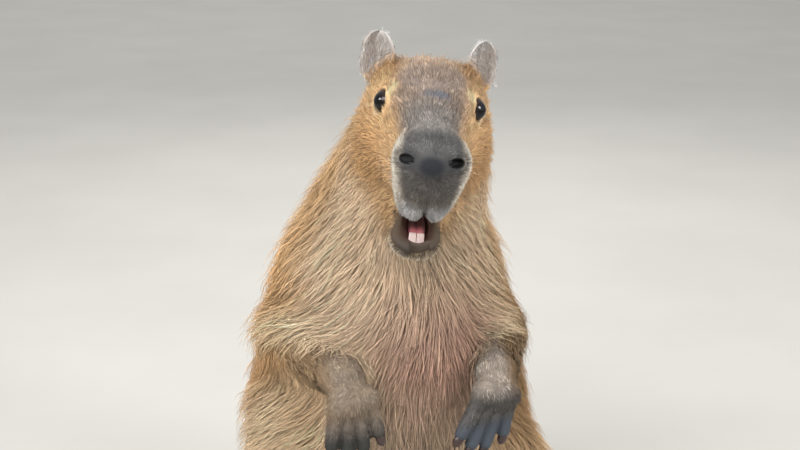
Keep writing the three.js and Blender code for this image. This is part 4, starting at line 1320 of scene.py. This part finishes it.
# Skin under short hair is matt and scatters light, and its down breaks it up. The bare leather of the
# nose, lips, lids and toes is pebbled, and the lining of the mouth and the lids' rims are wet, so they
# shine. Real pores and down are about 0.3 mm apart. They are drawn 1.1 and 1.4 mm apart, so that they
# show.
def skin_material():
    made, tree, shader = material("haired_skin_and_leather")
    paint = node(tree, "ShaderNodeAttribute", attribute_name="markings_and_painted_light")
    naked = node(tree, "ShaderNodeAttribute", attribute_name="bare")
    place = node(tree, "ShaderNodeTexCoord").outputs["Object"]
    pores = node(tree, "ShaderNodeTexVoronoi", {"Vector": place, "Scale": PORES})
    fuzz = node(tree, "ShaderNodeTexNoise", {"Vector": place, "Scale": FUZZ, "Detail": 3.0})
    kinds = {0: naked.outputs["Fac"], 2: fuzz.outputs["Fac"], 3: pores.outputs["Distance"]}
    grain = node(tree, "ShaderNodeMix", kinds)
    bump = node(tree, "ShaderNodeBump", {"Height": grain.outputs[0], "Strength": 0.5, "Distance": 0.0006})
    tree.links.new(bump.outputs["Normal"], shader.inputs["Normal"])
    tree.links.new(paint.outputs["Color"], shader.inputs["Base Color"])
    moist = node(tree, "ShaderNodeAttribute", attribute_name="wet")
    gloss = node(tree, "ShaderNodeMapRange", {"Value": moist.outputs["Fac"], "To Min": 0.68, "To Max": 0.25})
    tree.links.new(gloss.outputs["Result"], shader.inputs["Roughness"])
    shader.inputs["Specular IOR Level"].default_value = 0.25
    return made


# An eye is almost black under its wet cornea, which mirrors the lights as sharp points. Tear fluid has an
# IOR of 1.34.
def eye_material():
    made, tree, shader = material("wet_eye")
    iris = node(tree, "ShaderNodeAttribute", attribute_name="iris")
    ramp = node(tree, "ShaderNodeValToRGB", {"Fac": iris.outputs["Fac"]})
    for stop, position, code in zip(ramp.color_ramp.elements, (0.3, 0.85), ("#3a2d26", "#050404")):
        stop.position = position
        stop.color = (*linear(code), 1)
    tree.links.new(ramp.outputs["Color"], shader.inputs["Base Color"])
    shader.inputs["Roughness"].default_value = 0.04
    shader.inputs["IOR"].default_value = 1.34
    return made


def plain_material(name, code, other, roughness, scale, bump):
    """A material of two near colours in soft clouds, with a finely uneven surface."""
    made, tree, shader = material(name)
    place = node(tree, "ShaderNodeTexCoord").outputs["Object"]
    cloud = node(tree, "ShaderNodeTexNoise", {"Vector": place, "Scale": scale, "Detail": 3.0})
    tint = node(tree, "ShaderNodeValToRGB", {"Fac": cloud.outputs["Fac"]})
    for stop, position, shade in zip(tint.color_ramp.elements, (0.35, 0.65), (code, other)):
        stop.position = position
        stop.color = (*linear(shade), 1)
    tree.links.new(tint.outputs["Color"], shader.inputs["Base Color"])
    grain = node(tree, "ShaderNodeTexNoise", {"Vector": place, "Scale": FINER * scale, "Detail": 2.0})
    height = {"Height": grain.outputs["Fac"], "Strength": bump, "Distance": 0.0004}
    relief = node(tree, "ShaderNodeBump", height)
    tree.links.new(relief.outputs["Normal"], shader.inputs["Normal"])
    shader.inputs["Roughness"].default_value = roughness
    return made


# A tongue is pink flesh, wet and so half glossy, in clouds of 11 mm, and rough with papillae. These are
# drawn 2 mm across, coarser than real ones, so that they show. It darkens towards the throat, where
# little light reaches.
def tongue_material():
    made = plain_material("wet_tongue", "#8a4a50", "#a06064", 0.35, TONGUE_CLOUDS, 0.5)
    tree, shader = made.node_tree, made.node_tree.nodes["Principled BSDF"]
    flesh = shader.inputs["Base Color"].links[0].from_socket
    deep = node(tree, "ShaderNodeAttribute", attribute_name="deep")
    shades = {0: deep.outputs["Fac"], 6: flesh, 7: (*linear("#2a1516"), 1)}
    tint = node(tree, "ShaderNodeMix", shades, data_type="RGBA")
    tree.links.new(tint.outputs[2], shader.inputs["Base Color"])
    return made


# Claws: one blunt, hoof-like claw is shaped and copied to each toe. This share of its length is in the toe.
CLAW_ROOT = 0.45


def claw_shape():
    """A blunt claw, one wide and one long, with a rounded back and a flatter sole."""
    claw = new_sphere(20, 16)
    points = points_of(claw)
    s = (points[:, 2] + 1) / 2
    points[:, 0] *= 1 - 0.25 * s ** 2
    flattened = np.where(points[:, 1] < 0, 0.45, 1.0) * points[:, 1]
    points[:, 1] = flattened * (1 - 0.2 * s) - 0.55 * s ** 2
    points[:, 2] = s
    move_points(claw, points)
    return claw


def place_claw(model, name, toe, end_radius, width, length, up):
    """A copy of the claw at its size on the end of one toe."""
    start, end = (np.array(p, float) for p in toe)
    along = (end - start) / np.linalg.norm(end - start)
    across = np.cross(up, along)
    across /= np.linalg.norm(across)
    top = np.cross(along, across)
    claw = model.copy()
    claw.data = model.data.copy()
    bpy.context.collection.objects.link(claw)
    shape = points_of(claw) * (width, width * 0.85, length)
    base = end + along * (end_radius - CLAW_ROOT * length) + top
    move_points(claw, metres(base + shape @ np.array((across, top, along))))
    claw.name = claw.data.name = "nail_" + name
    claw.data.materials.append(HORN)
    claw.data.polygons.foreach_set("use_smooth", np.ones(len(claw.data.polygons), bool))
    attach(claw, "root")
    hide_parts("claw_" + name)


# Claws are dark horn, worn smooth by the ground: half glossy, in brown clouds of about 17 mm with a grain
# of 3 mm.
HORN = plain_material("claw_horn", "#1f1719", "#38241f", 0.42, HORN_CLOUDS, 0.25)
# The half width and the length of a front claw and of a hind one.
FORE_CLAW = (5.6, 15)
HIND_CLAW = (8.6, 22)
claw_model = claw_shape()
for hand_side, paw in PAWS.items():
    flip = (paw["side"], 1, 1)
    for n, toe in enumerate(FORE_TOES):
        ends = [p * flip for p in fore_toe(paw, *toe)]
        name = f"front_{hand_side}_{n + 1}"
        place_claw(claw_model, name, ends, FORE_TOE_RADIUS - 1, *FORE_CLAW, (0, -0.9, 0.2))
for foot_side, side in (("left", 1), ("right", -1)):
    for n, toe in enumerate(HIND_TOES):
        ends = [p * (side, 1, 1) for p in hind_toe(*toe)]
        place_claw(claw_model, f"hind_{foot_side}_{n + 1}", ends, HIND_TOE_RADIUS, *HIND_CLAW, (0, 0, 1))
bpy.data.objects.remove(claw_model)


# Tongue and the two lower incisors.
TONGUE_PLACE = (-3, -70, -100)
TONGUE_SIZE = (9, 27, 6)
TOOTH_PLACE = (-3, -98.5, -101.5)
TOOTH_SPACING = 3.9


def make_tongue():
    """A tongue with a groove along its middle, and its tip a little raised."""
    tongue = new_sphere(32, 24)
    points = points_of(tongue)
    forward = np.clip(-points[:, 1], 0, 1)
    groove = 0.25 * np.exp(-(points[:, 0] / 0.18) ** 2) * np.clip(points[:, 2], 0, 1)
    local = points * TONGUE_SIZE
    local[:, 2] += -8 * groove + 2.5 * forward ** 2
    move_points(tongue, metres(from_head(local + TONGUE_PLACE)))
    tongue.name = tongue.data.name = "tongue_flesh"
    bpy.ops.object.shade_smooth()
    deep = tongue.data.attributes.new("deep", "FLOAT", "POINT")
    set_all(deep.data, "value", fade(local[:, 1], -22, -6))
    tongue.data.materials.append(tongue_material())
    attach(tongue, "root")
    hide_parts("tongue")


def make_incisor(side):
    """A chisel-ended tooth: a block narrowed to its edge, with rounded corners."""
    bpy.ops.object.select_all(action="DESELECT")
    bpy.ops.mesh.primitive_cube_add(size=2)
    tooth = bpy.context.object
    bpy.ops.object.mode_set(mode="EDIT")
    bpy.ops.mesh.subdivide(number_cuts=3)
    bpy.ops.object.mode_set(mode="OBJECT")
    points = points_of(tooth)
    up = (points[:, 2] + 1) / 2
    points[:, 0] *= 4 - 0.5 * up
    points[:, 1] = points[:, 1] * (3.2 - 2 * up) + 3.4 * up ** 2
    points[:, 2] *= 7.5
    place = np.array(TOOTH_PLACE) + (side * TOOTH_SPACING, 0, 0)
    move_points(tooth, metres(from_head(points + place)))
    apply(tooth, "BEVEL", width=0.0013, segments=3)
    tooth.name = tooth.data.name = "tooth_left" if side > 0 else "tooth_right"
    bpy.ops.object.shade_smooth()
    tooth.data.materials.append(ENAMEL)
    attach(tooth, "root")
    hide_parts("incisor_left" if side > 0 else "incisor_right")


# Enamel is hard, smooth and wet, so it is glossy. In the mouth's shade it looks grey and pink, in clouds
# of 8 mm.
ENAMEL = plain_material("tooth_enamel", "#a48f8a", "#baa6a0", 0.3, TOOTH_CLOUDS, 0.15)
make_tongue()
for side in (1, -1):
    make_incisor(side)

# Materials and attributes on the skin and the eyes.
HAIR = hair_material()
skin.data.materials.clear()
skin.data.materials.append(skin_material())
cornea = eye_material()
for eye in eyes:
    eye.data.materials.clear()
    eye.data.materials.append(cornea)

skin_points = millimetres(points_of(skin))
paint = skin.data.color_attributes.new("markings_and_painted_light", "FLOAT_COLOR", "POINT")
# Painted shade: the skin is darker under short hair, standing in for the shade between the hairs of a real
# coat.
short_coat = 1 - fade(coat_at(skin_points)[:, 0], 14, 24)
shadow = 0.35 * short_coat * (1 - bare(skin_points))
set_all(paint.data, "color", with_alpha(markings_and_painted_light(skin_points) * (1 - shadow)[:, None]))
for name, form in (("bare", bare), ("wet", wet)):
    layer = skin.data.attributes.new(name, "FLOAT", "POINT")
    set_all(layer.data, "value", form(skin_points))

# The coat's hairs vary in colour, more where they are short, and some are much paler or darker than the
# rest.
VARIED = 0.15
VARIED_MORE = 0.19
PALE_SHARE, PALER = 0.16, 1.4
DARK_SHARE, DARKER = 0.1, 0.62
BRIGHTEST = 0.95
# Each hair takes this share of its leading hair's colour.
LEADER_COLOUR = 0.4
# Hairs shorter than the first length vary more, and those above the second are laid in three segments,
# not two.
SHORT, LONG = 14, 20
PIECE_TRIANGLES = 190000

roots, normals, places = sow(skin)
settings = coat_at(roots)
colours = markings_and_painted_light(roots)
count = len(roots)
spread = VARIED + VARIED_MORE * (settings[:, 0] < SHORT)
colours *= np.exp(spread * rng.normal(size=count))[:, None]
pale = rng.random(count) < PALE_SHARE
colours[pale] = np.minimum(PALER * colours[pale], BRIGHTEST)
dark = rng.random(count) < DARK_SHARE
colours[dark] *= DARKER
long = settings[:, 0] > LONG
for name, chosen, segments in (("long", long, 3), ("short", ~long, 2)):
    k = np.flatnonzero(chosen)
    lines = lay(roots[k], normals[k], settings[k], segments)
    leader = leaders_of(roots[k])
    lines = tufted(lines, roots[k], leader, settings[k, 4])
    lines = np.clip(lines, *COAT_LIMITS)
    colours[k] = (1 - LEADER_COLOUR) * colours[k] + LEADER_COLOUR * colours[k][leader]
    parts = math.ceil(len(k) * len(spindle_faces(segments + 1)) / PIECE_TRIANGLES)
    order = np.argsort(roots[k][:, 1])
    for part, members in enumerate(np.array_split(order, parts)):
        m = k[members]
        width = settings[m, 1] * rng.uniform(*WIDTHS, len(m))
        hair_mesh(f"{name}_hair_{part + 1}", lines[members], width, normals[m], places[m], colours[m])

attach(skin, "root")
FLESH = [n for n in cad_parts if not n.startswith(("eye", "claw", "tongue", "incisor"))]
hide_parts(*FLESH)
alone(skin)
bpy.ops.object.shade_smooth()

# The camera at the photograph's angle, with the head above the middle of the picture as there.
AZIMUTH = math.radians(-10)
ELEVATION = math.radians(17)
CAMERA_DISTANCE = 1.3
HEAD_ASIDE = 0.030
HEAD_ABOVE = 0.1195
level = math.cos(ELEVATION)
back = Vector((math.sin(AZIMUTH) * level, -math.cos(AZIMUTH) * level, math.sin(ELEVATION)))
right = Vector((math.cos(AZIMUTH), math.sin(AZIMUTH), 0))
up = back.cross(right)
target = Vector(metres((HEAD_SHIFT, -EYE_FORWARD, EYE_LEVEL))) - HEAD_ASIDE * right - HEAD_ABOVE * up
camera_data = bpy.data.cameras.new("camera")
camera_data.lens = 58.5
camera_data.sensor_width = 36
camera = bpy.data.objects.new("camera", camera_data)
bpy.context.collection.objects.link(camera)
camera.location = target + CAMERA_DISTANCE * back
camera.rotation_euler = (-back).to_track_quat("-Z", "Y").to_euler()
bpy.context.scene.camera = camera

# The floor is matt painted board, which hardly shines, in faint clouds of a third of a metre.
bpy.ops.object.select_all(action="DESELECT")
bpy.ops.mesh.primitive_plane_add(size=26)
floor = bpy.context.object
floor.name = "floor"
floor.data.materials.append(plain_material("matt_floor", "#bdb9b2", "#c1bdb6", 0.9, FLOOR_CLOUDS, 0.0))
world = bpy.data.worlds.new("studio")
bpy.context.scene.world = world
world.use_nodes = True
world.node_tree.nodes["Background"].inputs["Color"].default_value = (*linear("#e9ecee"), 1)
world.node_tree.nodes["Background"].inputs["Strength"].default_value = 0.82
bpy.context.scene.view_settings.view_transform = "Standard"


def soft_light(name, place, aim, size, power):
    """A white lamp with a square face, in metres and watts."""
    data = bpy.data.lights.new(name, "AREA")
    data.energy = power
    data.size = size
    lamp = bpy.data.objects.new(name, data)
    bpy.context.collection.objects.link(lamp)
    lamp.location = place
    lamp.rotation_euler = (Vector(aim) - Vector(place)).to_track_quat("-Z", "Y").to_euler()


soft_light("key_light", (-1.2, -1.8, 2.1), (0, 0, 0.45), 1.3, 50)
soft_light("fill_light", (1.8, -1.2, 1.3), (0, 0, 0.4), 1.6, 8)
soft_light("back_light", (0.4, 2.0, 1.9), (0, 0, 0.45), 1.4, 24)
soft_light("floor_light", (0, 5, 3), (0, 5, 0), 4, 25)
soft_light("left_eye_light", (1.16, -1.15, 1.40), (0.05, -0.1, 0.64), 0.45, 20)
soft_light("right_eye_light", (-1.36, -0.65, 1.45), (-0.05, -0.1, 0.64), 0.45, 20)
